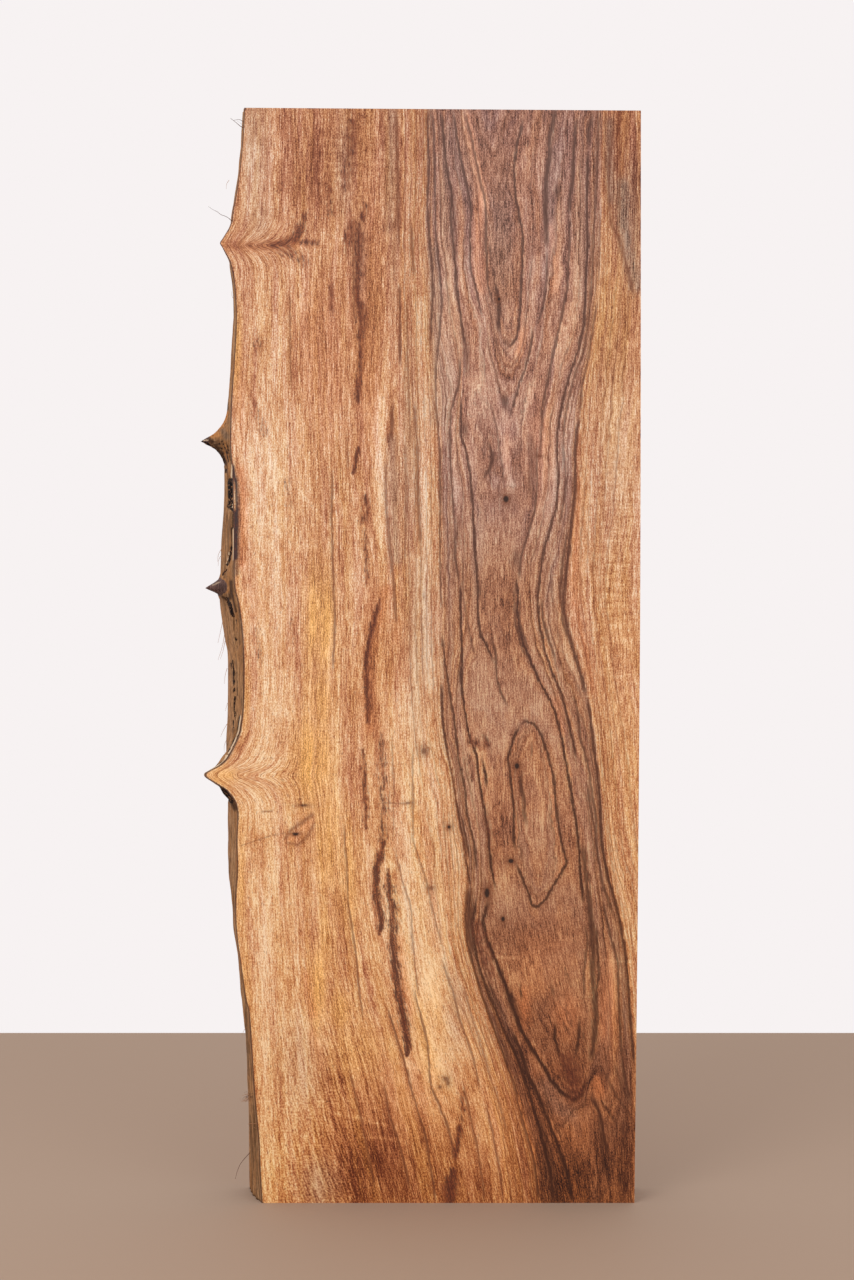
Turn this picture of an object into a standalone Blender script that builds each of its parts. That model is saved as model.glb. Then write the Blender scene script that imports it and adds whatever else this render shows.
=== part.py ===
"""Black walnut board with one live edge, standing on its sawn foot.

All sizes are millimetres, turned to metres where vertices are made. X runs to the right across the face, Y from
the front face to the back face, and Z up along the grain. The origin is under the middle of the board.
"""

import math
from bisect import bisect_right

import bmesh
import bpy
from mathutils import Vector, noise
from mathutils.geometry import delaunay_2d_cdt

MM = 0.001

# Driving dimensions
THICKNESS = 48.0
HEIGHT_AT_LIVE_EDGE = 1016.3
HEIGHT_AT_SAWN_EDGE = 1013.7
WALNUT_BROWN = (0.30, 0.13, 0.06, 1.0)

# Outlines as (height, x). The two arrises bound the live edge, and the sawn edge has a slight crook.
FRONT_ARRIS = [
    (0, -145.4), (31, -147.3), (58, -148.4), (86, -151.0), (114, -153.3), (151, -155.6), (179, -157.8),
    (188, -160.3), (207, -163.2), (225, -165.8), (253, -169.3), (281, -170.0), (309, -168.3), (337, -168.8),
    (365, -167.7), (397, -167.3), (439, -165.4), (457, -163.1), (495, -162.3), (522, -163.2), (541, -164.9),
    (559, -167.7), (569, -170.4), (583, -171.4), (624, -171.4), (652, -172.3), (680, -172.8), (699, -174.6),
    (717, -174.6), (745, -173.7), (773, -171.9), (801, -170.0), (829, -169.5), (856, -171.4), (873, -174.2),
    (917, -173.0), (931, -170.3), (958, -166.3), (986, -163.5), (1017, -161.7),
]
BACK_ARRIS = [
    (0, -161.6), (31, -162.0), (105, -162.1), (142, -163.5), (179, -167.9), (216, -168.4), (235, -169.9),
    (253, -172.6), (272, -174.9), (290, -179.0), (309, -181.3), (365, -181.8), (397, -183.0), (425, -184.1),
    (450, -182.8), (495, -182.4), (513, -183.0), (522, -184.9), (541, -187.9), (560, -190.0), (606, -188.8),
    (643, -186.1), (680, -185.0), (736, -181.3), (764, -178.2), (801, -175.8), (838, -172.9), (856, -173.6),
    (873, -174.6), (917, -173.6), (931, -170.9), (958, -166.9), (986, -163.9), (1017, -162.4),
]
SAWN_EDGE = [(0, 200.1), (188, 202.4), (328, 203.8), (439, 204.7), (550, 205.5), (745, 206.0), (1017, 206.2)]

# Relief of the live edge
BULGE = 2.5
RIDGE_HEIGHT = 0.7
RIDGE_SPACING = 11.0
KNURL_HEIGHT = 0.5
RELIEF_FADE = 7.0

# The seam between the two lobes of the live edge, as (height, depth behind the front face)
SEAM = [(414, 14.0), (434, 14.0), (467, 18.0), (485, 23.0), (504, 20.0), (522, 15.0), (545, 15.0), (562, 20.0)]
SEAM_DEPTH = 3.6
SEAM_HALF_WIDTH = 3.0

# The pocket where bark was left in the edge
POCKET_HEIGHT = 656.0
POCKET_DEPTH = 10.0
POCKET_REACH_UP = 16.0
POCKET_REACH_ACROSS = 7.5
POCKET_SINK = 3.8

# Swellings behind the arris: (height, depth, reach up, reach across, rise)
SWELLINGS = [(411.0, 7.0, 8.5, 6.0, 4.0), (380.0, 7.0, 11.0, 6.0, 4.6), (545.0, 34.0, 34.0, 9.0, 1.4)]
SWELLING_START = 4.0

# Mesh spacing
GRID_STEP = 5.4
FACE_STEP = 42.0
FINE_STEP = 1.7
RING_COUNT = 18


class Spur:
    """A stub that stands out of the live edge. Its profiles are (distance from the axis, height)."""

    def __init__(self, height, depth, profile, underside=None, lean=0.0, droop=0.0, across=1.0):
        self.height = height
        self.depth = depth
        self.profile = profile
        self.underside = underside or profile
        self.radius = profile[-1][0]
        self.axis = Vector((-1, -math.tan(math.radians(lean)), -math.tan(math.radians(droop)))).normalized()
        self.across = across

    def distance(self, height, depth):
        return math.hypot(height - self.height, (depth - self.depth) * self.across)

    def push(self, height, depth):
        away = self.distance(height, depth)
        if away >= self.radius:
            return Vector((0, 0, 0))
        below = 0.5 - 0.5 * (height - self.height) / max(away, 1e-6)
        rise = curve_through(self.profile, away) * (1 - below) + curve_through(self.underside, away) * below
        return self.axis * max(0.0, rise)

    def rings(self):
        """Points of the live edge's own plane where this spur needs vertices."""
        points = [(self.height, self.depth)]
        for number, (radius, _) in enumerate(self.profile[1:]):
            count = max(8, min(RING_COUNT, round(math.tau * radius / FINE_STEP)))
            for step in range(count):
                angle = math.tau * (step + number % 2 / 2) / count
                side = radius * math.sin(angle) / self.across
                points.append((self.height + radius * math.cos(angle), self.depth + side))
        return points


LONG_THORN = Spur(
    height=710.2, depth=25.0, droop=2.0, across=1.35,
    profile=[(0, 24.9), (1.4, 22.0), (3.3, 18.6), (5.2, 14.7), (8.0, 10.5), (10.8, 7.8), (14.2, 4.8),
             (18.5, 2.3), (22.5, 0.9), (28, 0)],
)
SHORT_THORN = Spur(
    height=572.8, depth=33.0, lean=21.0, droop=5.5,
    profile=[(0, 16.4), (1.0, 14.7), (2.2, 12.4), (4.4, 7.8), (6.2, 4.6), (7.8, 2.2), (9.4, 1.5), (10.8, 1.1),
             (13.4, 0)],
)
UPPER_CUT_SPUR = Spur(
    height=890.7, depth=0.0, across=1.25,
    profile=[(0, 10.4), (1.6, 9.7), (4.0, 8.0), (7.5, 6.0), (11.5, 3.7), (16.0, 1.5), (21.0, 0)],
)
LOWER_CUT_SPUR = Spur(
    height=397.2, depth=1.0, across=1.1,
    profile=[(0, 30.9), (1.9, 30.4), (3.7, 27.4), (5.6, 23.8), (9.3, 17.2), (13.9, 12.1), (19.5, 8.8),
             (25.0, 6.0), (32.0, 3.0), (41.0, 0)],
    underside=[(0, 30.9), (1.9, 30.4), (4.6, 26.6), (9.3, 18.3), (13.9, 11.0), (18.6, 7.0), (23.2, 3.6),
               (28.0, 1.6), (34.0, 0.3), (41.0, 0)],
)
SPURS = [LONG_THORN, SHORT_THORN, UPPER_CUT_SPUR, LOWER_CUT_SPUR]


def curve_through(points, at):
    """The value at AT of a smooth curve through POINTS, which rise in their first number."""
    last = len(points) - 1
    left = min(max(bisect_right(points, (at, math.inf)) - 1, 0), last - 1)
    slopes = []
    for end in (left, left + 1):
        before, after = points[max(end - 1, 0)], points[min(end + 1, last)]
        slopes.append((after[1] - before[1]) / (after[0] - before[0]))
    (start, low), (stop, high) = points[left], points[left + 1]
    span = stop - start
    part = (at - start) / span
    return (
        low * (1 + 2 * part) * (1 - part) ** 2
        + high * part * part * (3 - 2 * part)
        + span * part * (1 - part) * (slopes[0] * (1 - part) - slopes[1] * part)
    )


def ease(value):
    """0 below 0, 1 above 1, and smooth between."""
    value = min(max(value, 0.0), 1.0)
    return value * value * (3 - 2 * value)


def top_height(x):
    """The sawn top falls a little from the live edge to the sawn edge."""
    run = SAWN_EDGE[-1][1] - FRONT_ARRIS[-1][1]
    return HEIGHT_AT_LIVE_EDGE + (HEIGHT_AT_SAWN_EDGE - HEIGHT_AT_LIVE_EDGE) * (x - FRONT_ARRIS[-1][1]) / run


def relief(height, depth):
    """Ridges along the grain and soft knurls across it, which die away towards both arrises."""
    fade = ease(depth / RELIEF_FADE) * ease((THICKNESS - depth) / RELIEF_FADE)
    sway = 0.3 * math.sin(height / 47.0) + 0.2 * math.sin(height / 19.0 + 1.0)
    ridges = RIDGE_HEIGHT * math.sin(math.tau * (depth / RIDGE_SPACING + sway))
    knurls = KNURL_HEIGHT * noise.noise(Vector((height / 16.0, depth / 9.0, 0.5)))
    return fade * (ridges + knurls)


def seam_sink(height, depth):
    """How far the seam between the lobes lies below them."""
    ends = ease((height - SEAM[0][0]) / 24.0) * ease((SEAM[-1][0] - height) / 24.0)
    if ends == 0:
        return 0.0
    across = (depth - curve_through(SEAM, height)) / SEAM_HALF_WIDTH
    return SEAM_DEPTH * ends * math.exp(-across * across)


def pocket_sink(height, depth):
    """How far the bark pocket lies below the edge around it."""
    up = (height - POCKET_HEIGHT) / POCKET_REACH_UP
    across = (depth - POCKET_DEPTH) / POCKET_REACH_ACROSS
    return POCKET_SINK * ease(1.6 * (1.0 - math.hypot(up, across)))


def swell(height, depth):
    """How far the edge swells out behind its front arris, which stays as it is."""
    rise = 0.0
    for middle, inward, reach_up, reach_across, top in SWELLINGS:
        up, across = (height - middle) / reach_up, (depth - inward) / reach_across
        rise += top * math.exp(-up * up - across * across)
    return rise * ease(depth / SWELLING_START)


def live_edge(height, depth):
    """The point of the live edge at this height and this depth behind the front face."""
    part = depth / THICKNESS
    x = curve_through(FRONT_ARRIS, height) * (1 - part) + curve_through(BACK_ARRIS, height) * part
    x -= BULGE * 4 * part * (1 - part) + relief(height, depth) + swell(height, depth)
    x += seam_sink(height, depth) + pocket_sink(height, depth)
    point = Vector((x, depth - THICKNESS / 2, height))
    for spur in SPURS:
        point += spur.push(height, depth)
    return point


def even_steps(start, stop, step):
    count = max(1, round((stop - start) / step))
    return [start + (stop - start) * number / count for number in range(count + 1)]


def arris_heights(depth):
    """Heights of the vertices along one arris, closer together where a spur reaches it."""
    heights = even_steps(0.0, HEIGHT_AT_LIVE_EDGE, GRID_STEP)
    for spur in SPURS:
        if abs(depth - spur.depth) * spur.across > spur.radius / 2:
            continue
        low, high = spur.height - spur.radius, spur.height + spur.radius
        heights = [height for height in heights if not low < height < high]
        heights += even_steps(low, high, FINE_STEP)
    return sorted(heights)


def clear_of_features(height, depth):
    """Whether a grid point keeps its distance from the vertices that a spur, the seam or the pocket places."""
    if any(spur.distance(height, depth) < spur.radius + 0.4 * GRID_STEP for spur in SPURS):
        return False
    if SEAM[0][0] - 4 < height < SEAM[-1][0] + 4 and abs(depth - curve_through(SEAM, height)) < 5.2:
        return False
    up = (height - POCKET_HEIGHT) / POCKET_REACH_UP
    across = (depth - POCKET_DEPTH) / POCKET_REACH_ACROSS
    return math.hypot(up, across) > 1.3


def edge_plan():
    """Vertices of the live edge as (height, depth): its border first, then its inside."""
    border = [(height, 0.0) for height in arris_heights(0.0)]
    depths = even_steps(0.0, THICKNESS, GRID_STEP)
    border += [(HEIGHT_AT_LIVE_EDGE, depth) for depth in depths[1:-1]]
    border += [(height, THICKNESS) for height in reversed(arris_heights(THICKNESS))]
    border += [(0.0, depth) for depth in reversed(depths[1:-1])]
    inside = []
    for row, depth in enumerate(depths[1:-1]):
        shift = GRID_STEP / 2 * (row % 2)
        for height in even_steps(GRID_STEP * 0.7, HEIGHT_AT_LIVE_EDGE - GRID_STEP * 1.2, GRID_STEP):
            if clear_of_features(height + shift, depth):
                inside.append((height + shift, depth))
    for height in even_steps(SEAM[0][0], SEAM[-1][0], GRID_STEP):
        inside += [(height, curve_through(SEAM, height) + across) for across in (-2.6, 0.0, 2.6)]
    for part, count in ((0.0, 1), (0.4, 8), (0.75, 12), (1.05, 16)):
        for step in range(count):
            angle = math.tau * step / count
            up, across = POCKET_REACH_UP * part * math.cos(angle), POCKET_REACH_ACROSS * part * math.sin(angle)
            inside.append((POCKET_HEIGHT + up, POCKET_DEPTH + across))
    for spur in SPURS:
        inside += [(height, depth) for height, depth in spur.rings() if 0.9 < depth < THICKNESS - 0.9]
    return border, inside


def fill(shell, loop, inside, flat):
    """Fills the closed LOOP of vertices with triangles that also use the vertices INSIDE. FLAT unrolls a vertex."""
    corners = loop + inside
    plan = [Vector(flat(corner)) for corner in corners]
    triangles = delaunay_2d_cdt(plan, [], [list(range(len(loop)))], 1, 1e-4)
    found, faces, sources = triangles[0], triangles[2], triangles[3]
    if len(found) != len(corners):
        raise ValueError("two vertices of the plan lie on each other")
    for face in faces:
        shell.faces.new([corners[sources[index][0]] for index in face])


def board_shell():
    shell = bmesh.new()

    def vertex(x, y, z):
        return shell.verts.new(Vector((x, y, z)) * MM)

    border, inside = edge_plan()
    place = {}
    for height, depth in border + inside:
        point = live_edge(height, depth)
        if height == HEIGHT_AT_LIVE_EDGE:
            point.z = top_height(point.x)
        place[vertex(*point)] = (height, depth)
    rim, bark_side = list(place)[: len(border)], list(place)[len(border):]
    fill(shell, rim, bark_side, place.get)

    front = [corner for corner in rim if place[corner][1] == 0]
    back = [corner for corner in rim if place[corner][1] == THICKNESS]
    left_top = [corner for corner in rim if place[corner][0] == HEIGHT_AT_LIVE_EDGE]
    left_foot = [corner for corner in rim if place[corner][0] == 0]
    left_foot.sort(key=lambda corner: place[corner][1])

    def sawn_side(y):
        corners = []
        for height in even_steps(0.0, HEIGHT_AT_SAWN_EDGE, FACE_STEP):
            corners.append(vertex(curve_through(SAWN_EDGE, height), y, height))
        corners[-1].co.z = top_height(corners[-1].co.x / MM) * MM
        return corners

    def across(start, stop):
        """New vertices between two corners of a sawn end."""
        parts = even_steps(0.0, 1.0, FACE_STEP * MM / (stop.co - start.co).length)[1:-1]
        return [shell.verts.new(start.co.lerp(stop.co, part)) for part in parts]

    right_front, right_back = sawn_side(-THICKNESS / 2), sawn_side(THICKNESS / 2)
    for low, high in zip(range(len(right_front) - 1), range(1, len(right_front))):
        shell.faces.new([right_front[low], right_back[low], right_back[high], right_front[high]])

    def width_wise(corner):
        return corner.co.x / MM, corner.co.y / MM

    def upright(corner):
        return corner.co.x / MM, corner.co.z / MM

    ends = {}
    for name, left, right in (("top", left_top, (right_front[-1], right_back[-1])),
                              ("foot", left_foot, (right_front[0], right_back[0]))):
        near, far = across(left[0], right[0]), across(left[-1], right[1])
        ends[name] = near, far
        fill(shell, left + far + [right[1], right[0]] + near[::-1], [], width_wise)

    for side, left, right in ((0, front, right_front), (1, back[::-1], right_back)):
        loop = left + ends["top"][side] + right[::-1] + ends["foot"][side][::-1]
        middle = []
        for height in even_steps(FACE_STEP, HEIGHT_AT_SAWN_EDGE - FACE_STEP, FACE_STEP):
            arris = curve_through((FRONT_ARRIS, BACK_ARRIS)[side], height)
            for x in even_steps(arris + 12.0, SAWN_EDGE[0][1] - FACE_STEP / 2, FACE_STEP):
                middle.append(vertex(x, left[0].co.y / MM, height))
        fill(shell, loop, middle, upright)

    bmesh.ops.recalc_face_normals(shell, faces=shell.faces)
    return shell


def walnut():
    material = bpy.data.materials.new("black_walnut")
    material.use_nodes = True
    shader = material.node_tree.nodes["Principled BSDF"]
    shader.inputs["Base Color"].default_value = WALNUT_BROWN
    shader.inputs["Roughness"].default_value = 0.55
    shader.inputs["Metallic"].default_value = 0.0
    return material


def main():
    for thing in list(bpy.data.objects):
        bpy.data.objects.remove(thing)
    mesh = bpy.data.meshes.new("board")
    shell = board_shell()
    shell.to_mesh(mesh)
    shell.free()
    mesh.materials.append(walnut())
    mesh.shade_smooth()
    mesh.set_sharp_from_angle(angle=math.radians(40))
    board = bpy.data.objects.new("board", mesh)
    bpy.context.scene.collection.objects.link(board)


main()
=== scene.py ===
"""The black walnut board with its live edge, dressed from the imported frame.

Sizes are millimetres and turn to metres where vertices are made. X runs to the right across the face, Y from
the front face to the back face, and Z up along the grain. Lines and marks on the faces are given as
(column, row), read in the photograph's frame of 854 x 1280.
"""

import math

import bpy
import numpy as np
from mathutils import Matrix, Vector, noise
from mathutils.geometry import delaunay_2d_cdt


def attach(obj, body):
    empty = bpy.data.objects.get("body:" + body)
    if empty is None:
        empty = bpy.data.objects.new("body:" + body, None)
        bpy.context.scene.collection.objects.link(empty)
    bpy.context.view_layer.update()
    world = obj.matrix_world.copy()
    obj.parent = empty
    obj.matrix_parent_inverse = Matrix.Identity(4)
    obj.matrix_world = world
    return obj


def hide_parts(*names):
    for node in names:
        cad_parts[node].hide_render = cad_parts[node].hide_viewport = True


MM = 0.001

# The photograph's frame, level and square to the board
MM_PER_PIXEL = 0.9278
MIDDLE_COLUMN, MIDDLE_ROW = 427.0, 640.0
CAMERA_X, CAMERA_Z = 7.67, 522.4
CAMERA_TO_FACE = 1649.6
LENS, FILM_HEIGHT = 50.0, 36.0

# Rows a little above and below the board
TOP_ROW, FOOT_ROW = 100.0, 1212.0

# The board, shaped as the solid is. The arrises and the sawn edge are (height, x), the seam (height, depth).
THICKNESS = 48.0
HEIGHT_AT_LIVE_EDGE = 1016.3
HEIGHT_AT_SAWN_EDGE = 1013.7
FRONT_ARRIS = [
    (0, -145.4), (31, -147.3), (58, -148.4), (86, -151.0), (114, -153.3), (151, -155.6), (179, -157.8),
    (188, -160.3), (207, -163.2), (225, -165.8), (253, -169.3), (281, -170.0), (309, -168.3), (337, -168.8),
    (365, -167.7), (397, -167.3), (439, -165.4), (457, -163.1), (495, -162.3), (522, -163.2), (541, -164.9),
    (559, -167.7), (569, -170.4), (583, -171.4), (624, -171.4), (652, -172.3), (680, -172.8), (699, -174.6),
    (717, -174.6), (745, -173.7), (773, -171.9), (801, -170.0), (829, -169.5), (856, -171.4), (873, -174.2),
    (917, -173.0), (931, -170.3), (958, -166.3), (986, -163.5), (1017, -161.7),
]
BACK_ARRIS = [
    (0, -161.6), (31, -162.0), (105, -162.1), (142, -163.5), (179, -167.9), (216, -168.4), (235, -169.9),
    (253, -172.6), (272, -174.9), (290, -179.0), (309, -181.3), (365, -181.8), (397, -183.0), (425, -184.1),
    (450, -182.8), (495, -182.4), (513, -183.0), (522, -184.9), (541, -187.9), (560, -190.0), (606, -188.8),
    (643, -186.1), (680, -185.0), (736, -181.3), (764, -178.2), (801, -175.8), (838, -172.9), (856, -173.6),
    (873, -174.6), (917, -173.6), (931, -170.9), (958, -166.9), (986, -163.9), (1017, -162.4),
]
SAWN_EDGE = [
    (0, 200.1), (188, 202.4), (328, 203.8), (439, 204.7), (550, 205.5), (745, 206.0), (1017, 206.2),
]
BULGE = 2.5
SEAM = [
    (414, 14.0), (434, 14.0), (467, 18.0), (485, 23.0), (504, 20.0), (522, 15.0), (545, 15.0), (562, 20.0),
]
SEAM_DEPTH, SEAM_HALF_WIDTH, SEAM_RUN_OUT = 3.6, 3.0, 24.0
POCKET_HEIGHT, POCKET_DEPTH = 656.0, 10.0
POCKET_REACH_UP, POCKET_REACH_ACROSS = 16.0, 7.5
POCKET_SINK, POCKET_STEEPNESS = 3.8, 1.6

# Ridges along the live edge, which sway by (share of a ridge, length, start), and knurls between them
RIDGE_HEIGHT, RIDGE_SPACING = 0.7, 11.0
RIDGE_SWAY = [(0.3, 47.0, 0.0), (0.2, 19.0, 1.0)]
KNURL_HEIGHT, KNURL_LENGTH, KNURL_WIDTH, KNURL_SEED = 0.5, 16.0, 9.0, 0.5
RELIEF_FADE = 7.0

# Swellings of the live edge: (height, depth, reach up, reach across, how far it stands out)
SWELLINGS = [(411.0, 7.0, 8.5, 6.0, 4.0), (380.0, 7.0, 11.0, 6.0, 4.6), (545.0, 34.0, 34.0, 9.0, 1.4)]
SWELLING_START = 4.0

# Finer than the solid: strands of the live edge, and how far cracks and bark crust sink into it
STRAND_HEIGHT, STRAND_LENGTH, STRAND_WIDTH, STRAND_SEED = 0.34, 24.0, 2.1, 4.0
CRACK_DEPTH = 0.9

# Mesh spacing
EDGE_STEP = 1.7
FACE_STEP = 3.0
FINE_STEP = 1.6
BACK_STEP = 6.0
END_STEP = 3.0
SIDE_STEP = 6.0
ROW_STEP = 0.87

# Parts of the front face with a finer mesh, each as the (column, row) of two corners
FINE_REGIONS = [((204, 212), (338, 276)), ((204, 735), (292, 825)), ((268, 796), (330, 856))]

# Rings of vertices round a knot: (size as a share of the knot's, how many vertices)
KNOT_RINGS = [(0.0, 1), (0.6, 6), (1.2, 8), (1.9, 10), (3.2, 10)]
BACK_KNOT_RINGS = [(0.0, 1), (0.7, 6), (1.4, 8), (2.4, 10)]

# Rows of vertices along a thin stroke, in its half widths from the middle, and their spacing in pixels
STROKE_ROWS = (-1.8, -0.9, 0.0, 0.9, 1.8)
STROKE_STEP = 4.0

# The number of each finish in the material slots of the board and of the fibres
FACE, END, SAWN_SIDE, LIVE = range(4)
PALE_FIBRE, DARK_FIBRE = range(2)


class Spur:
    """A stub that stands out of the live edge. Its profiles are (distance from the axis, height)."""

    FIRST_RING, RING_GROWTH, RING_GAP, VERTEX_SPACING = 0.45, 1.16, 0.35, 1.2

    def __init__(self, height, depth, profile, underside=None, lean=0.0, droop=0.0, across=1.0):
        self.height = height
        self.depth = depth
        self.profile = profile
        self.underside = underside or profile
        self.radius = profile[-1][0]
        axis = Vector((-1, -math.tan(math.radians(lean)), -math.tan(math.radians(droop)))).normalized()
        self.axis = np.array(axis)
        self.across = across

    def distance(self, height, depth):
        return np.hypot(height - self.height, (depth - self.depth) * self.across)

    def rise(self, height, depth):
        """How far the spur stands out along its own axis."""
        away = self.distance(height, depth)
        below = 0.5 - 0.5 * (height - self.height) / np.maximum(away, 1e-6)
        reach = np.minimum(away, self.radius)
        upper, lower = curve_through(self.profile, reach), curve_through(self.underside, reach)
        return np.where(away < self.radius, np.maximum(upper * (1 - below) + lower * below, 0.0), 0.0)

    def rings(self):
        """Points of the live edge's own plane where this spur needs vertices."""
        points = [(self.height, self.depth)]
        radius, number = self.FIRST_RING, 0
        while radius < self.radius:
            count = max(10, min(72, round(math.tau * radius / self.VERTEX_SPACING)))
            for step in range(count):
                angle = math.tau * (step + number % 2 / 2) / count
                side = radius * math.sin(angle) / self.across
                points.append((self.height + radius * math.cos(angle), self.depth + side))
            radius = radius * self.RING_GROWTH + self.RING_GAP
            number += 1
        return points


LONG_THORN = dict(
    height=710.2, depth=25.0, droop=2.0, across=1.35,
    profile=[(0, 24.9), (1.4, 22.0), (3.3, 18.6), (5.2, 14.7), (8.0, 10.5), (10.8, 7.8), (14.2, 4.8),
             (18.5, 2.3), (22.5, 0.9), (28, 0)],
)
SHORT_THORN = dict(
    height=572.8, depth=33.0, lean=21.0, droop=5.5,
    profile=[(0, 16.4), (1.0, 14.7), (2.2, 12.4), (4.4, 7.8), (6.2, 4.6), (7.8, 2.2), (9.4, 1.5), (10.8, 1.1),
             (13.4, 0)],
)
UPPER_CUT_SPUR = dict(
    height=890.7, depth=0.0, across=1.25,
    profile=[(0, 10.4), (1.6, 9.7), (4.0, 8.0), (7.5, 6.0), (11.5, 3.7), (16.0, 1.5), (21.0, 0)],
)
LOWER_CUT_SPUR = dict(
    height=397.2, depth=1.0, across=1.1,
    profile=[(0, 30.9), (1.9, 30.4), (3.7, 27.4), (5.6, 23.8), (9.3, 17.2), (13.9, 12.1), (19.5, 8.8),
             (25.0, 6.0), (32.0, 3.0), (41.0, 0)],
    underside=[(0, 30.9), (1.9, 30.4), (4.6, 26.6), (9.3, 18.3), (13.9, 11.0), (18.6, 7.0), (23.2, 3.6),
               (28.0, 1.6), (34.0, 0.3), (41.0, 0)],
)

# Growth rings on the front face. Each is (millimetres from the heart's middle, its points from the top down).
RINGS = {
    "core left": (12, [(464, 110), (471, 135), (479, 169), (485, 197), (488, 228), (487, 258), (488, 288),
        (498, 317), (503, 345)]),
    "core right": (12, [(531, 110), (521, 135), (515, 157), (514, 177), (517, 205), (523, 228), (522, 258),
        (519, 288), (520, 317), (517, 339)]),
    "second left": (26, [(457, 110), (458, 145), (466, 185), (471, 201), (470, 238), (470, 268), (477, 298),
        (485, 317), (488, 347), (493, 373), (503, 405)]),
    "second right": (26, [(558, 112), (551, 130), (550, 155), (546, 185), (547, 213), (547, 248), (545, 268),
        (537, 315), (529, 361), (521, 377), (513, 404), (509, 415)]),
    "third left": (36, [(443, 110), (445, 149), (451, 189), (453, 228), (455, 268), (461, 307), (466, 341),
        (464, 367), (461, 404), (463, 435), (471, 475), (473, 503), (474, 538), (477, 578), (475, 627),
        (463, 670), (462, 698), (465, 714), (469, 737), (478, 752), (482, 775), (481, 794), (485, 813),
        (490, 832), (489, 867)]),
    "third foot": (36, [(487, 937), (497, 960), (506, 978), (511, 1000), (521, 1022), (524, 1039),
        (537, 1056), (548, 1074), (559, 1089), (570, 1096), (576, 1099), (583, 1093), (587, 1078),
        (589, 1067), (595, 1048), (598, 1022), (597, 1004), (596, 985), (598, 967), (595, 939)]),
    "third right": (36, [(594, 928), (589, 895), (583, 870), (579, 840), (576, 817), (571, 790), (566, 763),
        (564, 737), (556, 717), (549, 694), (539, 675), (527, 647), (519, 627), (517, 597), (516, 578),
        (522, 550), (529, 526), (536, 499), (537, 469), (538, 439), (543, 410), (549, 384), (552, 357),
        (558, 317), (567, 278), (568, 238), (570, 209), (572, 169), (575, 139), (578, 112)]),
    "fourth left": (49, [(433, 110), (435, 139), (435, 179), (434, 217), (438, 264), (441, 284), (442, 330),
        (456, 388), (451, 423), (452, 465), (454, 503), (456, 538), (457, 570), (460, 601), (457, 650),
        (452, 700), (451, 737), (459, 759), (463, 782), (466, 805), (472, 825), (475, 842), (476, 870),
        (474, 915), (474, 954), (482, 978), (491, 1004), (502, 1034), (511, 1059), (522, 1082), (530, 1100),
        (537, 1124), (545, 1148), (550, 1170), (552, 1198)]),
    "fourth right": (49, [(594, 112), (589, 130), (588, 160), (587, 220), (587, 260), (585, 305), (582, 335),
        (577, 355), (570, 373), (565, 393), (560, 415), (557, 440), (558, 470), (557, 500), (551, 525),
        (543, 552), (539, 578), (538, 607), (540, 632), (548, 658), (558, 690), (568, 715), (575, 737),
        (583, 760), (590, 782), (594, 805), (597, 832), (600, 861), (604, 890)]),
    "heart left": (64, [(428, 109), (427, 189), (426, 224), (430, 268), (431, 298), (436, 380), (439, 445),
        (439, 503), (441, 548), (440, 588), (440, 650), (441, 708), (444, 737), (450, 756), (455, 779),
        (457, 803), (459, 826), (465, 844), (467, 867), (467, 884), (464, 907), (464, 928), (468, 950),
        (474, 967), (484, 1000), (493, 1026), (504, 1056), (513, 1078), (519, 1104), (526, 1130),
        (533, 1152), (536, 1174), (539, 1204)]),
    "heart right": (64, [(602, 112), (601, 150), (601, 200), (600, 245), (599, 280), (595, 312), (591, 340),
        (586, 370), (581, 395), (580, 415), (577, 440), (576, 480), (574, 510), (571, 540), (568, 575),
        (566, 600), (568, 625), (574, 645), (582, 668), (588, 695), (593, 722), (597, 755), (601, 790),
        (604, 835), (609, 866), (616, 898), (623, 928), (628, 965), (631, 1010), (634, 1050), (637, 1078)]),
    "eye": (31.5, [(519, 729), (509, 742), (507, 760), (510, 778), (514, 803), (513, 834), (513, 854),
        (517, 872), (527, 893), (535, 909), (545, 903), (555, 887), (567, 870), (564, 847), (557, 824),
        (555, 793), (553, 772), (548, 752), (540, 732), (528, 724), (519, 729)]),
    "inside the eye": (26, [(522, 775), (524, 794), (527, 815), (531, 742), (533, 762), (540, 800),
        (542, 840), (540, 870)]),
    "nest": (31.5, [(548, 995), (550, 1013), (554, 1034), (559, 1056), (569, 1069), (576, 1059), (578, 1041),
        (582, 1022), (580, 990)]),
    "under the nest": (46, [(576, 1112), (592, 1118), (604, 1100)]),
    "foot right": (54, [(591, 1096), (600, 1115), (606, 1133), (610, 1159), (612, 1200)]),
    "foot middle": (43, [(548, 1112), (562, 1135), (572, 1160), (580, 1189), (583, 1202)]),
    "dark sapwood line": (130, [(364, 112), (364, 209), (357, 268), (362, 327), (358, 387), (366, 500),
        (376, 590), (368, 660), (368, 720), (364, 780), (374, 864), (376, 904), (387, 940), (396, 985),
        (404, 1012), (409, 1034), (417, 1070), (428, 1110), (442, 1160), (455, 1204)]),
    "outer sapwood line": (185, [(300, 112), (302, 200), (298, 300), (300, 400), (304, 500), (306, 600),
        (304, 700), (306, 780), (314, 880), (318, 985), (324, 1060), (331, 1110), (343, 1160), (353, 1204)]),
    "right sapwood": (100, [(640, 112), (640, 200), (632, 300), (626, 400), (618, 500), (609, 600),
        (618, 680), (632, 760), (638, 830)]),
}
RING_AT_ARRIS = 245

# Which rings are dark veins: (the ring, how dark)
VEIN_RINGS = [
    (6, 0.3), (18, 0.4), (30, 0.45), (42.5, 0.45), (53, 0.35), (56.5, 0.5), (60, 0.35), (68, 0.35),
    (72.5, 0.45), (78, 0.35), (84, 0.45), (90, 0.35), (97, 0.4),
]

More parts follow.
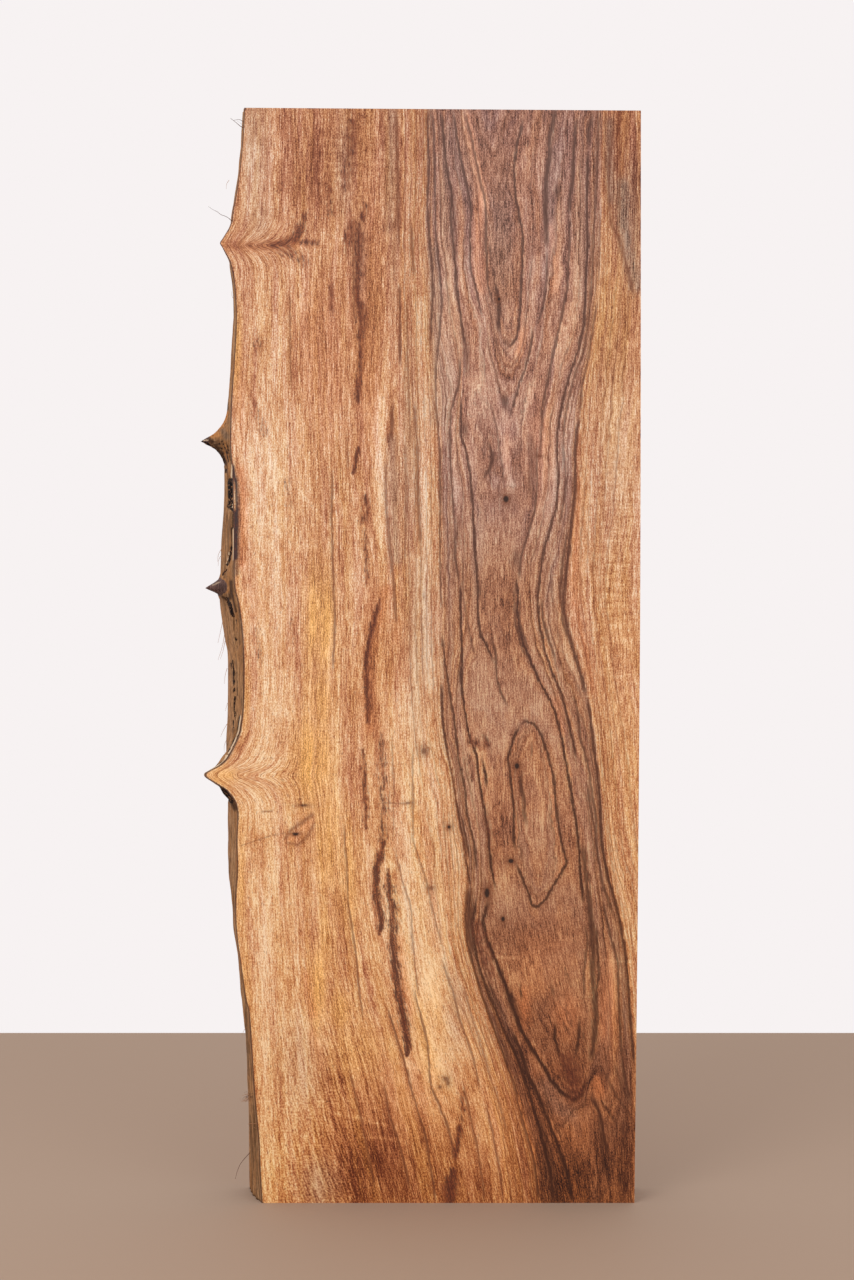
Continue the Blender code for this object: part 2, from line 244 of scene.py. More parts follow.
# Dark veins on the front face: (strength, half width in mm, points from the top down)
VEINS = [
    # The left side of the heart
    (0.85, 0.8, [(427, 108), (429, 160), (427, 205), (429, 235), (432, 265), (433, 290), (431, 325),
        (430, 350)]),
    (0.75, 0.65, [(432, 110), (434, 135), (435, 180), (436, 235), (439, 262), (442, 300), (440, 330),
        (436, 367), (436, 405), (440, 455), (440, 545), (441, 610)]),
    (0.85, 0.9, [(441, 110), (444, 138), (446, 165), (452, 195), (451, 220), (454, 250), (457, 290),
        (461, 322), (466, 350)]),
    (0.45, 1.9, [(448, 176), (453, 200), (453, 235), (455, 265)]),
    (0.45, 2.2, [(462, 322), (466, 350), (467, 380)]),
    (0.75, 0.75, [(461, 355), (459, 385), (451, 410), (450, 435), (451, 470), (453, 500), (455, 530),
        (455, 558), (460, 585)]),
    (0.45, 2.0, [(456, 512), (457, 552)]),
    (1.0, 0.8, [(460, 583), (461, 625), (462, 650), (461, 680), (464, 708), (469, 735), (477, 757),
        (480, 785), (485, 812), (489, 838), (491, 868), (496, 890)]),
    (0.8, 0.7, [(453, 110), (457, 138), (462, 165), (468, 190), (471, 210), (470, 240), (471, 270),
        (477, 292), (482, 318)]),
    (0.7, 0.8, [(464, 110), (472, 140), (480, 180), (486, 203), (486, 245), (488, 285), (494, 308)]),
    (0.8, 0.8, [(489, 240), (491, 260)]),
    (0.9, 1.2, [(495, 280), (499, 300), (499, 336)]),
    (0.85, 0.8, [(524, 118), (517, 145), (514, 170), (516, 200), (523, 235), (522, 270), (520, 315),
        (517, 338), (511, 345), (504, 350)]),
    (0.7, 2.2, [(500, 340), (513, 344)]),
    (0.75, 2.2, [(502, 390), (508, 413)]),
    (0.8, 0.8, [(534, 326), (531, 345), (526, 368), (520, 382), (516, 396), (509, 420)]),
    (0.45, 0.7, [(487, 333), (490, 355), (496, 372), (500, 392), (507, 414)]),
    (0.4, 0.6, [(483, 345), (486, 383)]),
    (0.9, 0.8, [(461, 396), (461, 435), (466, 450), (470, 475), (473, 505), (475, 550), (478, 590),
        (478, 615), (481, 635), (489, 650), (494, 664)]),
    (0.6, 2.0, [(463, 416), (465, 441)]),
    (0.7, 1.7, [(478, 578), (479, 603)]),
    (0.45, 0.7, [(463, 553), (463, 595), (468, 625), (475, 658)]),
    (0.75, 1.2, [(487, 439), (493, 454), (491, 466), (483, 481)]),
    (0.5, 0.7, [(491, 402), (496, 425), (499, 445), (503, 470), (504, 488)]),
    (0.7, 0.8, [(491, 636), (496, 655), (497, 680), (503, 697), (509, 708)]),
    (0.85, 0.75, [(442, 632), (444, 656), (448, 680), (451, 700), (455, 725), (458, 755), (465, 790),
        (467, 815), (474, 842), (477, 872)]),
    (0.95, 0.8, [(441, 680), (443, 725), (447, 750), (453, 780), (458, 812), (463, 838), (466, 862),
        (471, 888)]),
    (0.8, 0.7, [(461, 812), (466, 838), (470, 862)]),
    (0.4, 2.0, [(484, 802), (489, 838), (491, 870)]),
    (0.95, 0.75, [(482, 756), (485, 773), (488, 790)]),
    (0.7, 0.8, [(472, 766), (472, 785)]),
    (0.75, 1.1, [(482, 731), (487, 741), (491, 751)]),
    (0.75, 2.6, [(470, 884), (469, 910), (470, 935), (475, 958)]),
    (0.95, 1.0, [(477, 895), (472, 925), (475, 948), (481, 972), (488, 992), (497, 1013), (505, 1033),
        (514, 1050), (523, 1075), (531, 1098), (538, 1122), (545, 1148), (551, 1175), (554, 1204)]),
    (1.0, 1.2, [(489, 898), (483, 922), (488, 942), (499, 968), (507, 990), (516, 1015), (522, 1032),
        (531, 1047), (541, 1062), (551, 1080), (562, 1093), (574, 1100), (581, 1095), (586, 1078)]),
    (0.6, 2.8, [(505, 982), (514, 1008), (521, 1026)]),
    (0.8, 0.9, [(465, 903), (467, 940), (474, 968), (482, 995), (492, 1024), (504, 1056), (514, 1085),
        (522, 1120), (532, 1152), (536, 1175), (539, 1204)]),
    (0.6, 0.8, [(487, 976), (495, 998), (506, 1019)]),
    (0.9, 1.1, [(511, 1030), (520, 1047), (527, 1072), (537, 1092), (546, 1115), (556, 1140), (564, 1162),
        (571, 1185), (571, 1204)]),
    (0.5, 0.8, [(537, 1073), (545, 1088), (548, 1108)]),
    (0.55, 2.6, [(538, 1112), (548, 1150), (553, 1185), (554, 1204)]),
    # The right side of the heart
    (0.8, 1.5, [(557, 106), (550, 135), (549, 160), (546, 185), (546, 220), (547, 250)]),
    (0.6, 0.8, [(547, 248), (547, 275), (543, 308), (536, 327)]),
    (0.8, 1.2, [(577, 116), (574, 145), (573, 175), (570, 200), (570, 218)]),
    (0.7, 0.8, [(570, 214), (569, 255), (567, 290), (560, 325), (554, 350), (548, 380), (542, 408),
        (541, 424)]),
    (0.55, 0.7, [(547, 392), (542, 425), (540, 458)]),
    (0.75, 1.8, [(557, 182), (559, 201)]),
    (0.8, 1.2, [(594, 110), (589, 130), (588, 150)]),
    (0.9, 0.85, [(588, 150), (587, 205), (588, 245), (586, 280), (584, 325), (577, 355), (570, 373),
        (565, 393), (559, 420), (557, 450), (559, 480), (556, 510), (548, 535), (542, 560), (538, 595),
        (539, 622), (545, 651), (552, 672), (562, 695), (568, 718), (572, 738), (577, 762)]),
    (0.65, 0.75, [(599, 112), (598, 150), (596, 195), (594, 230), (592, 275), (588, 325), (583, 355),
        (577, 368), (570, 393), (564, 425), (563, 448), (566, 475), (564, 500), (559, 528)]),
    (0.4, 0.8, [(600, 205), (600, 245), (599, 285)]),
    (0.65, 0.8, [(598, 300), (592, 335), (588, 362), (582, 385), (580, 418)]),
    (0.9, 1.2, [(580, 414), (575, 455), (576, 480), (574, 505), (571, 530), (568, 560), (564, 595),
        (564, 612), (568, 632), (575, 655), (582, 678), (587, 698)]),
    (0.75, 0.8, [(568, 528), (563, 560), (560, 590), (563, 622), (571, 645), (579, 668)]),
    (0.65, 0.8, [(537, 443), (537, 480), (535, 510), (528, 535), (521, 556), (519, 582)]),
    (0.4, 2.6, [(531, 430), (532, 500)]),
    (0.45, 2.8, [(517, 545), (515, 572)]),
    (1.0, 0.9, [(516, 576), (518, 597), (517, 612), (520, 630), (524, 645), (532, 664), (541, 684),
        (550, 700), (556, 715), (560, 730), (564, 752), (569, 780), (573, 803), (577, 826), (579, 848),
        (581, 880), (584, 905)]),
    (0.7, 0.7, [(521, 590), (519, 618), (524, 638), (531, 653)]),
    (0.55, 0.8, [(514, 585), (515, 618), (520, 643), (528, 660)]),
    (0.75, 0.8, [(542, 596), (543, 620), (550, 643), (557, 664)]),
    (0.45, 0.7, [(551, 568), (552, 590), (554, 614)]),
    (0.7, 0.8, [(573, 690), (578, 715), (580, 738), (585, 753), (590, 775), (592, 795), (596, 815),
        (597, 845)]),
    (0.7, 0.8, [(587, 780), (590, 805), (595, 830), (597, 850), (600, 868), (603, 885), (610, 905),
        (614, 918)]),
    (0.9, 1.0, [(587, 694), (591, 722), (593, 745), (597, 768), (600, 800), (601, 835), (604, 858),
        (609, 880), (616, 905), (621, 925), (625, 950), (628, 980), (630, 1010), (632, 1040), (634, 1066)]),
    (0.7, 0.8, [(602, 900), (608, 925), (613, 945), (618, 962), (619, 1000), (621, 1045), (625, 1080),
        (632, 1106)]),
    (0.35, 0.6, [(600, 742), (604, 790), (609, 840), (616, 885), (623, 918)]),
    (0.75, 1.8, [(582, 842), (586, 870), (589, 900), (592, 925), (593, 955), (593, 985), (596, 1015),
        (595, 1035), (591, 1064)]),
    (0.75, 0.8, [(596, 922), (599, 978), (596, 990), (598, 1018), (596, 1044)]),
    (0.55, 0.8, [(585, 922), (588, 940), (584, 970), (584, 1002)]),
    # Around the two knots and the eye
    (0.9, 0.85, [(521, 723), (513, 740), (508, 760), (511, 782), (514, 810), (514, 842), (517, 852)]),
    (0.85, 0.85, [(515, 860), (522, 877), (529, 894), (532, 905), (537, 907), (546, 899), (553, 886),
        (561, 873), (567, 863), (563, 848), (559, 830), (556, 805), (553, 775), (548, 755), (541, 735),
        (534, 724), (526, 721), (519, 725)]),
    (0.7, 1.2, [(522, 770), (521, 785), (525, 803), (524, 812), (527, 827)]),
    (0.6, 0.6, [(531, 740), (532, 750), (531, 761)]),
    (0.9, 0.8, [(520, 982), (522, 1003)]),
    (0.65, 1.2, [(551, 982), (554, 999)]),
    (0.9, 0.9, [(555, 1020), (555, 1040), (561, 1058)]),
    (0.8, 0.9, [(580, 1016), (579, 1038), (575, 1058)]),
    (0.7, 0.8, [(583, 1026), (584, 1044)]),
    (0.8, 1.0, [(590, 1093), (600, 1113), (604, 1135), (609, 1160)]),
    (0.6, 0.8, [(599, 1098), (609, 1112), (617, 1124)]),
    (0.5, 0.8, [(599, 1113), (602, 1148), (606, 1178)]),
    (0.9, 1.3, [(623, 1118), (624, 1140)]),
    (0.7, 0.9, [(619, 1172), (621, 1186)]),
    (0.5, 0.8, [(605, 1073), (616, 1095), (628, 1112), (635, 1124)]),
    (0.5, 0.8, [(613, 1060), (622, 1085), (634, 1110)]),
    # Sapwood
    (0.6, 0.7, [(441, 958), (453, 992), (460, 1020), (468, 1042), (474, 1060), (480, 1092)]),
    (0.5, 0.7, [(463, 983), (470, 1010), (480, 1042), (489, 1072), (501, 1108), (508, 1137)]),
    (0.55, 0.7, [(463, 1083), (470, 1115), (477, 1145), (483, 1185), (485, 1204)]),
    (0.6, 0.7, [(486, 1103), (493, 1135), (500, 1170), (504, 1204)]),
    (0.7, 0.7, [(413, 988), (427, 1039), (430, 1075), (431, 1088), (440, 1105), (449, 1130), (455, 1160)]),
    (0.75, 0.7, [(387, 1007), (403, 1057), (413, 1095), (427, 1140), (433, 1183), (436, 1204)]),
    (0.6, 0.7, [(384, 1081), (389, 1113), (403, 1156), (411, 1193)]),
    (0.5, 0.7, [(349, 1068), (360, 1113), (371, 1167), (376, 1193)]),
    (0.6, 0.6, [(344, 824), (347, 867), (348, 901), (355, 947), (359, 987), (363, 1020)]),
    (0.5, 0.6, [(395, 850), (403, 883), (411, 907), (413, 947), (419, 1000)]),
    (0.5, 0.6, [(413, 747), (413, 840), (427, 883), (432, 907), (443, 950)]),
    (0.4, 0.6, [(392, 733), (394, 790), (393, 840)]),
    (0.65, 0.7, [(332, 468), (332, 530), (333, 570), (335, 620), (333, 673)]),
    (0.85, 0.8, [(400, 282), (400, 320), (400, 368)]),
    (0.5, 0.7, [(407, 297), (408, 365), (409, 400), (411, 445)]),
    (0.7, 0.9, [(411, 220), (413, 262), (415, 280)]),
    (0.6, 0.8, [(396, 108), (398, 170), (398, 210), (400, 252)]),
    (0.65, 1.0, [(414, 400), (417, 440), (418, 480), (419, 520), (421, 548)]),
    (0.75, 1.2, [(393, 400), (392, 425), (390, 445)]),
    (0.6, 0.9, [(386, 460), (386, 500), (389, 535), (391, 556), (394, 585), (397, 628)]),
    (0.45, 0.7, [(405, 440), (406, 500), (405, 565)]),
    (0.6, 0.6, [(424, 588), (424, 603)]),
    (0.6, 0.6, [(427, 588), (426, 606)]),
    (0.5, 0.6, [(421, 616), (424, 636)]),
    (0.55, 0.6, [(433, 636), (435, 652)]),
    (0.6, 1.0, [(612, 128), (609, 165), (609, 205), (611, 222), (618, 236), (624, 256), (631, 284),
        (634, 298)]),
    (0.6, 0.5, [(352, 222), (353, 253), (354, 300), (354, 323)]),
    (0.5, 0.5, [(346, 225), (346, 262)]),
    (0.6, 0.6, [(359, 330), (361, 370), (358, 402)]),
    (0.5, 0.5, [(290, 288), (290, 345), (291, 390)]),
    (0.4, 0.5, [(331, 284), (332, 320)]),
    (0.4, 0.6, [(347, 433), (348, 473)]),
    (0.75, 0.9, [(381, 602), (374, 621), (369, 640), (366, 660), (366, 690)]),
    (0.5, 0.6, [(419, 747), (424, 744), (429, 748), (427, 756), (421, 758)]),
    (0.45, 0.5, [(373, 804), (390, 803), (410, 804)]),
]

# Soft strokes of colour on the front face: (kind, strength, half width in pixels, points)
STROKES = [
    # Dark mineral streaks in the sapwood
    ("streak", 0.8, 3.0, [(366, 205), (362, 218)]),
    ("streak", 0.7, 5.6, [(359, 224), (358, 262), (359, 285)]),
    ("streak", 0.8, 3.4, [(357, 288), (358, 305)]),
    ("streak", 0.6, 6.0, [(361, 300), (362, 325), (360, 345)]),
    ("streak", 0.6, 3.2, [(360, 338), (360, 370), (358, 402)]),
    ("streak", 0.5, 4.0, [(352, 222), (350, 245)]),
    ("streak", 0.8, 2.4, [(357, 380), (357, 401)]),
    ("streak", 0.9, 2.2, [(358, 449), (356, 462), (353, 472)]),
    ("streak", 0.6, 4.0, [(366, 497), (367, 510), (363, 521)]),
    ("streak", 0.6, 2.5, [(364, 529), (366, 555), (367, 585)]),
    ("streak", 0.85, 3.0, [(380, 600), (374, 621), (369, 640), (366, 660), (366, 690)]),
    ("streak", 0.8, 3.4, [(366, 670), (368, 700), (368, 722)]),
    ("streak", 0.7, 2.7, [(363, 750), (365, 780), (366, 808), (366, 830)]),
    ("streak", 0.5, 4.5, [(381, 733), (383, 770), (384, 805), (383, 850)]),
    ("streak", 1.15, 3.5, [(384, 842), (378, 862), (376, 876), (376, 893), (379, 910), (382, 922),
        (379, 934)]),
    ("streak", 0.95, 3.5, [(388, 870), (389, 893), (392, 905), (392, 925), (393, 945), (395, 962)]),
    ("streak", 0.5, 6.0, [(390, 880), (393, 905), (396, 935)]),
    ("streak", 1.2, 4.0, [(392, 935), (395, 962), (397, 981), (400, 1000), (403, 1015), (405, 1030),
        (408, 1045), (407, 1056)]),
    ("streak", 0.6, 3.5, [(305, 214), (302, 224)]),
    ("streak", 0.9, 5.5, [(301, 228), (298, 235)]),
    ("streak", 0.7, 4.0, [(295, 238), (286, 243), (277, 246)]),
    ("streak", 0.6, 3.5, [(296, 241), (316, 243)]),
    ("streak", 0.4, 6.0, [(283, 249), (298, 255), (305, 262)]),
    ("dark", 0.6, 4.5, [(230, 246), (250, 246), (276, 246), (296, 242)]),
    ("ruddy", 0.5, 6.0, [(228, 246), (250, 246), (276, 246), (300, 242)]),
    ("streak", 0.45, 5.0, [(352, 120), (350, 150), (346, 175), (344, 190)]),
    ("streak", 0.4, 4.0, [(330, 190), (331, 215)]),
    ("streak", 0.5, 2.5, [(463, 1094), (461, 1120)]),
    ("streak", 0.8, 4.0, [(460, 1125), (455, 1160)]),
    ("streak", 1.1, 6.5, [(453, 1170), (449, 1204)]),
    ("streak", 0.5, 2.5, [(346, 230), (346, 244)]),
    ("streak", 0.4, 3.0, [(331, 286), (332, 314)]),
    # Dark blotches in the heartwood
    ("streak", 0.2, 6.0, [(483, 800), (488, 830), (494, 850)]),
    ("streak", 0.5, 5.0, [(470, 742), (486, 745)]),
    ("streak", 0.5, 4.0, [(469, 755), (472, 777)]),
    ("dark", 0.9, 4.5, [(558, 186), (557, 200)]),
    ("streak", 0.6, 9.0, [(568, 1062), (574, 1080), (575, 1092)]),
    ("streak", 0.5, 6.0, [(476, 920), (482, 945), (492, 975)]),
    # Bands darker than what lies beside them
    ("dark", 0.45, 8.0, [(470, 905), (475, 940), (487, 975), (500, 1010), (516, 1050), (530, 1090),
        (545, 1130), (556, 1165), (560, 1204)]),
    ("dark", 0.3, 4.0, [(578, 440), (575, 500), (568, 560), (565, 600), (574, 660), (586, 710)]),
    ("dark", 0.3, 4.0, [(590, 110), (588, 200), (586, 270)]),
    ("dark", 0.35, 5.0, [(534, 440), (532, 500), (522, 545)]),
    ("dark", 0.5, 7.0, [(545, 1040), (556, 1070), (575, 1090)]),
    ("dark", 0.5, 3.0, [(356, 728), (358, 770), (362, 800)]),
    ("dark", 0.6, 6.0, [(391, 393), (392, 450), (400, 480)]),
    ("dark", 0.5, 9.0, [(400, 480), (402, 540), (404, 620), (398, 680)]),
    ("dark", 0.4, 4.0, [(411, 221), (413, 300), (412, 345), (416, 400)]),
    ("dark", 0.5, 5.0, [(352, 690), (352, 760), (350, 830)]),
    ("dark", 0.4, 4.0, [(375, 700), (377, 760), (379, 830)]),
    ("dark", 0.5, 8.0, [(326, 1075), (336, 1120), (350, 1165), (358, 1204)]),
    ("dark", 0.4, 5.0, [(385, 1100), (396, 1150), (406, 1204)]),
    ("dark", 0.4, 4.0, [(420, 1110), (434, 1160), (444, 1204)]),
    ("dark", 0.6, 6.0, [(600, 930), (603, 975), (598, 1010), (596, 1050), (588, 1085)]),
    ("dark", 0.5, 4.0, [(290, 300), (292, 345), (296, 400)]),
    # Bands paler than what lies beside them
    ("pale", 0.9, 4.5, [(465, 112), (472, 140), (479, 180), (483, 205)]),
    ("pale", 0.8, 4.0, [(477, 215), (477, 270), (482, 300)]),
    ("pale", 0.6, 5.0, [(420, 300), (422, 400), (424, 480), (426, 560)]),
    ("pale", 0.7, 7.0, [(420, 560), (424, 620), (430, 680)]),
    ("pale", 0.8, 5.0, [(379, 400), (380, 470), (381, 540)]),
    ("pale", 0.7, 3.0, [(386, 868), (385, 885), (388, 910), (388, 930)]),
    ("pale", 0.8, 8.0, [(405, 870), (408, 920), (412, 970), (420, 1010)]),
    ("pale", 0.6, 8.0, [(436, 960), (446, 1010), (450, 1060)]),
    ("pale", 0.6, 7.0, [(484, 1115), (492, 1150), (500, 1204)]),
    ("pale", 0.6, 6.0, [(437, 280), (438, 340), (438, 400)]),
    ("pale", 0.5, 6.0, [(447, 330), (444, 380), (444, 440)]),
    ("pale", 0.6, 5.0, [(482, 300), (484, 340), (486, 372)]),
    ("pale", 0.6, 5.0, [(533, 262), (531, 300), (528, 336)]),
    ("pale", 0.5, 4.0, [(578, 270), (576, 320)]),
    ("pale", 0.5, 5.0, [(573, 400), (569, 430), (569, 470)]),
    ("pale", 0.6, 4.0, [(406, 110), (406, 190), (408, 270)]),
    ("pale", 0.6, 6.0, [(410, 770), (412, 850), (418, 880)]),
    ("pale", 0.6, 5.0, [(422, 985), (430, 1045)]),
    ("pale", 0.5, 6.0, [(500, 880), (500, 905)]),
    ("pale", 0.7, 8.0, [(262, 930), (262, 1000), (266, 1060), (268, 1130), (268, 1204)]),
    ("pale", 0.4, 6.0, [(256, 150), (252, 205)]),
    ("pale", 0.5, 5.0, [(612, 960), (610, 1000), (606, 1040)]),
    ("pale", 0.4, 6.0, [(526, 745), (540, 770), (545, 820)]),
    ("pale", 0.7, 4.5, [(551, 228), (556, 262), (555, 290)]),
    ("ruddy", 0.4, 4.5, [(551, 228), (556, 262), (555, 290)]),
    ("pale", 0.4, 7.0, [(545, 450), (548, 490), (540, 530)]),
    ("pale", 0.4, 7.0, [(411, 110), (411, 200), (412, 285)]),
    ("pale", 0.5, 5.0, [(552, 535), (552, 605)]),
    ("pale", 0.7, 4.0, [(524, 332), (519, 354)]),
    ("pale", 0.5, 5.0, [(478, 240), (480, 330), (484, 400)]),
    ("pale", 0.5, 6.0, [(446, 1045), (452, 1085)]),
    ("pale", 0.6, 7.0, [(478, 1100), (484, 1160)]),
    ("pale", 0.6, 8.0, [(506, 878), (508, 915)]),
    ("pale", 0.4, 6.0, [(369, 850), (368, 900), (370, 955)]),
    ("pale", 0.4, 6.0, [(280, 950), (284, 1020), (288, 1080), (290, 1160)]),
    ("pale", 0.5, 10.0, [(300, 300), (270, 360), (268, 440), (272, 480)]),
    ("dark", 0.4, 5.0, [(601, 890), (606, 955)]),
    ("dark", 0.5, 4.0, [(459, 1128), (456, 1165)]),
    ("dark", 0.3, 9.0, [(366, 965), (374, 1010), (384, 1060)]),
    ("dark", 0.3, 10.0, [(312, 1100), (320, 1150), (326, 1190)]),
    ("pale", 0.4, 3.0, [(338, 700), (339, 780), (340, 860)]),
    ("pale", 0.8, 12.0, [(426, 980), (432, 1030), (438, 1070)]),
    ("pale", 0.7, 3.5, [(464, 735), (470, 770), (474, 810), (480, 850)]),
    # Pale arcs left by the planer
    ("pale", 0.7, 2.0, [(391, 864), (404, 868), (415, 873)]),
    ("pale", 0.65, 2.0, [(333, 1113), (362, 1119), (392, 1127)]),
    ("pale", 0.6, 1.8, [(360, 1137), (382, 1138), (405, 1141)]),
    ("pale", 0.6, 1.8, [(301, 492), (315, 508), (328, 529)]),
    ("pale", 0.5, 1.8, [(272, 1109), (293, 1110)]),
    ("pale", 0.8, 1.4, [(496, 957), (512, 958), (520, 958)]),
    ("pale", 0.8, 1.3, [(604, 960), (618, 961), (630, 962)]),
    # A dark bruise beside the bark pocket
    ("bruise", 1.0, 2.2, [(232.5, 466), (234, 476), (236.6, 484), (237.2, 498), (237.5, 512)]),
    ("bruise", 1.0, 3.2, [(236, 512), (236.2, 528), (235.6, 540), (235.6, 558)]),
    ("bruise", 0.6, 2.6, [(235.8, 558), (236.6, 574)]),
    ("ruddy", 0.75, 5.0, [(240, 470), (243, 500), (242, 565)]),
    ("dark", 0.8, 4.0, [(239, 470), (241, 500), (240, 562)]),
    # Dark dashes near the live edge
    ("streak", 0.28, 6.0, [(256, 335), (258, 352)]),
    ("streak", 0.28, 5.0, [(250, 396), (262, 425), (264, 443)]),
    ("streak", 0.25, 5.0, [(256, 632), (260, 660)]),
    ("streak", 0.25, 4.0, [(293, 620), (293, 640)]),
    ("streak", 0.25, 5.0, [(287, 482), (290, 505)]),
    # Rust
    ("ruddy", 0.9, 6.5, [(386, 590), (381, 612), (375, 633), (371, 655), (370, 680), (370, 728)]),
    ("ruddy", 0.8, 4.5, [(307, 976), (309, 995), (313, 1015)]),
    ("ruddy", 0.6, 4.0, [(312, 1033), (318, 1050), (321, 1068)]),
    ("ruddy", 0.6, 3.0, [(397, 620), (396, 641)]),
    ("ruddy", 1.0, 2.8, [(579, 480), (577, 520), (576, 545), (574, 580), (575, 604), (581, 630), (588, 660),
        (593, 690)]),
    ("ruddy", 0.5, 6.0, [(398, 940), (404, 980), (410, 1010)]),
    ("ruddy", 0.6, 5.0, [(467, 118), (474, 150), (481, 190), (478, 240), (482, 290)]),
    ("ruddy", 0.55, 4.0, [(524, 332), (519, 354)]),
    ("pale", 0.8, 3.0, [(503, 416), (505, 438), (507, 470), (509, 492)]),
    ("ruddy", 0.45, 5.0, [(556, 700), (562, 730)]),
    ("ruddy", 0.4, 3.0, [(241, 110), (240, 160), (236, 200)]),
    ("ruddy", 0.5, 7.0, [(330, 325), (336, 360), (338, 400)]),
    # Grey
    ("ash", 0.7, 6.0, [(392, 110), (391, 170), (390, 230)]),
    ("ash", 0.8, 6.0, [(392, 440), (393, 500), (396, 560)]),
    ("dark", 0.6, 7.0, [(508, 985), (520, 1020), (530, 1050)]),
    ("ash", 0.5, 5.0, [(447, 130), (444, 190), (446, 260), (450, 340), (450, 390)]),
    ("ash", 0.7, 7.0, [(433, 250), (436, 320), (437, 420)]),
    ("ash", 0.9, 5.0, [(610, 122), (609, 165), (612, 200)]),
    ("ash", 1.2, 9.0, [(622, 185), (624, 225), (631, 255), (637, 285)]),
    ("ash", 0.3, 8.0, [(546, 1085), (556, 1105), (570, 1115)]),
    ("ruddy", 0.7, 7.0, [(290, 838), (300, 832), (306, 822)]),
    ("dark", 0.5, 6.0, [(292, 846), (300, 842), (311, 838)]),
    ("ruddy", 0.35, 9.0, [(566, 990), (568, 1035)]),
]

# Wider patches of colour: (column, row, reach across, reach up, strength)
PALE_PATCHES = [
    (262, 500, 26, 70, 0.4), (288, 455, 18, 60, 0.4), (300, 1035, 28, 45, 0.3), (318, 1185, 20, 30, 0.5),
    (284, 1160, 36, 56, 0.6), (296, 1115, 26, 40, 0.45), (425, 760, 30, 80, 0.3), (430, 930, 26, 70, 0.5),
    (262, 760, 18, 60, 0.4), (270, 900, 24, 60, 0.45), (262, 620, 24, 60, 0.3), (280, 690, 20, 40, 0.35),
    (410, 690, 12, 60, 0.3), (265, 350, 20, 50, 0.3), (560, 330, 14, 60, 0.45), (460, 300, 16, 60, 0.55),
    (540, 800, 22, 60, 0.3), (500, 250, 22, 110, 0.2), (545, 190, 22, 90, 0.2), (430, 1080, 50, 40, 0.35),
    (264, 806, 24, 24, 0.6), (254, 215, 14, 26, 0.3), (258, 150, 20, 60, 0.5), (618, 450, 22, 60, 0.25),
]
DARK_PATCHES = [
    (345, 140, 34, 50, 0.5), (310, 120, 40, 30, 0.25), (364, 290, 20, 120, 0.6), (408, 180, 18, 100, 0.4),
    (262, 350, 9, 18, 0.5), (340, 510, 42, 90, 0.45), (370, 650, 20, 90, 0.5), (300, 660, 16, 60, 0.2),
    (350, 1100, 40, 60, 0.3), (390, 1165, 62, 52, 0.8), (470, 1190, 60, 30, 0.4), (580, 1180, 60, 60, 0.82),
    (560, 1075, 26, 24, 0.55), (625, 1150, 20, 80, 0.7), (505, 250, 16, 90, 0.35), (490, 455, 34, 34, 0.35),
    (500, 640, 34, 60, 0.35), (530, 1030, 30, 46, 0.8), (530, 950, 40, 50, 0.25), (556, 1085, 36, 40, 0.65),
    (322, 340, 26, 90, 0.25), (316, 165, 34, 60, 0.7), (618, 165, 26, 80, 0.7), (622, 330, 20, 70, 0.4),
    (616, 620, 30, 120, 0.3), (618, 760, 24, 110, 0.4), (622, 880, 20, 60, 0.15), (412, 600, 16, 70, 0.2),
    (340, 925, 10, 60, 0.3), (318, 900, 16, 50, 0.2), (480, 840, 14, 50, 0.1), (285, 310, 30, 60, 0.1),
    (515, 620, 20, 60, 0.25), (500, 1190, 40, 30, 0.3), (546, 560, 12, 40, 0.2),
]
GOLD_PATCHES = [
    (320, 620, 16, 60, 0.9), (312, 760, 20, 50, 0.9), (328, 840, 14, 60, 0.6), (318, 990, 9, 50, 0.8),
    (320, 700, 12, 40, 0.7), (614, 330, 24, 90, 0.3), (622, 420, 20, 90, 0.15), (620, 700, 24, 200, 0.12),
    (340, 1010, 14, 22, 0.6), (345, 880, 16, 60, 0.45), (327, 940, 10, 40, 0.4), (236, 345, 6, 50, 0.9),
    (244, 700, 6, 40, 0.4), (222, 776, 14, 12, 0.7), (245, 1010, 6, 70, 0.5), (240, 880, 6, 60, 0.5),
    (355, 1050, 30, 30, 0.4), (430, 1030, 18, 60, 0.3),
]
RUDDY_PATCHES = [
    (577, 560, 6, 60, 0.4), (524, 1007, 8, 26, 0.7), (566, 1015, 17, 26, 0.6), (322, 350, 30, 80, 0.45),
    (608, 1010, 9, 60, 0.7), (598, 1088, 9, 16, 1.0), (478, 245, 6, 60, 0.5), (507, 455, 4, 40, 0.25),
    (326, 415, 12, 40, 0.35), (372, 640, 10, 60, 0.35), (250, 600, 14, 40, 0.25), (540, 450, 14, 60, 0.3),
    (300, 440, 9, 40, 0.15), (405, 1110, 60, 60, 0.4), (360, 1150, 40, 50, 0.35), (520, 1130, 60, 70, 0.5),
    (545, 960, 40, 50, 0.3), (570, 1150, 60, 70, 0.4), (366, 320, 16, 150, 0.55), (240, 400, 6, 60, 0.4),
]
ASH_PATCHES = [
    (256, 150, 14, 70, 0.6), (258, 215, 14, 26, 0.5), (394, 210, 6, 110, 0.5), (394, 490, 7, 50, 0.8),
    (410, 470, 10, 120, 0.5), (345, 165, 10, 60, 0.4), (614, 183, 5, 45, 0.5), (625, 228, 6, 32, 0.9),
    (633, 220, 10, 70, 0.9), (500, 250, 14, 90, 0.5), (420, 620, 16, 90, 0.5), (456, 1008, 11, 40, 0.5),
    (300, 1060, 28, 50, 0.35), (580, 250, 8, 90, 0.4), (470, 160, 20, 50, 0.3), (360, 260, 8, 60, 0.4),
    (320, 1185, 22, 28, 0.5), (478, 560, 8, 90, 0.35), (415, 700, 10, 60, 0.3), (555, 200, 12, 80, 0.3),
    (614, 450, 26, 110, 0.28),
]
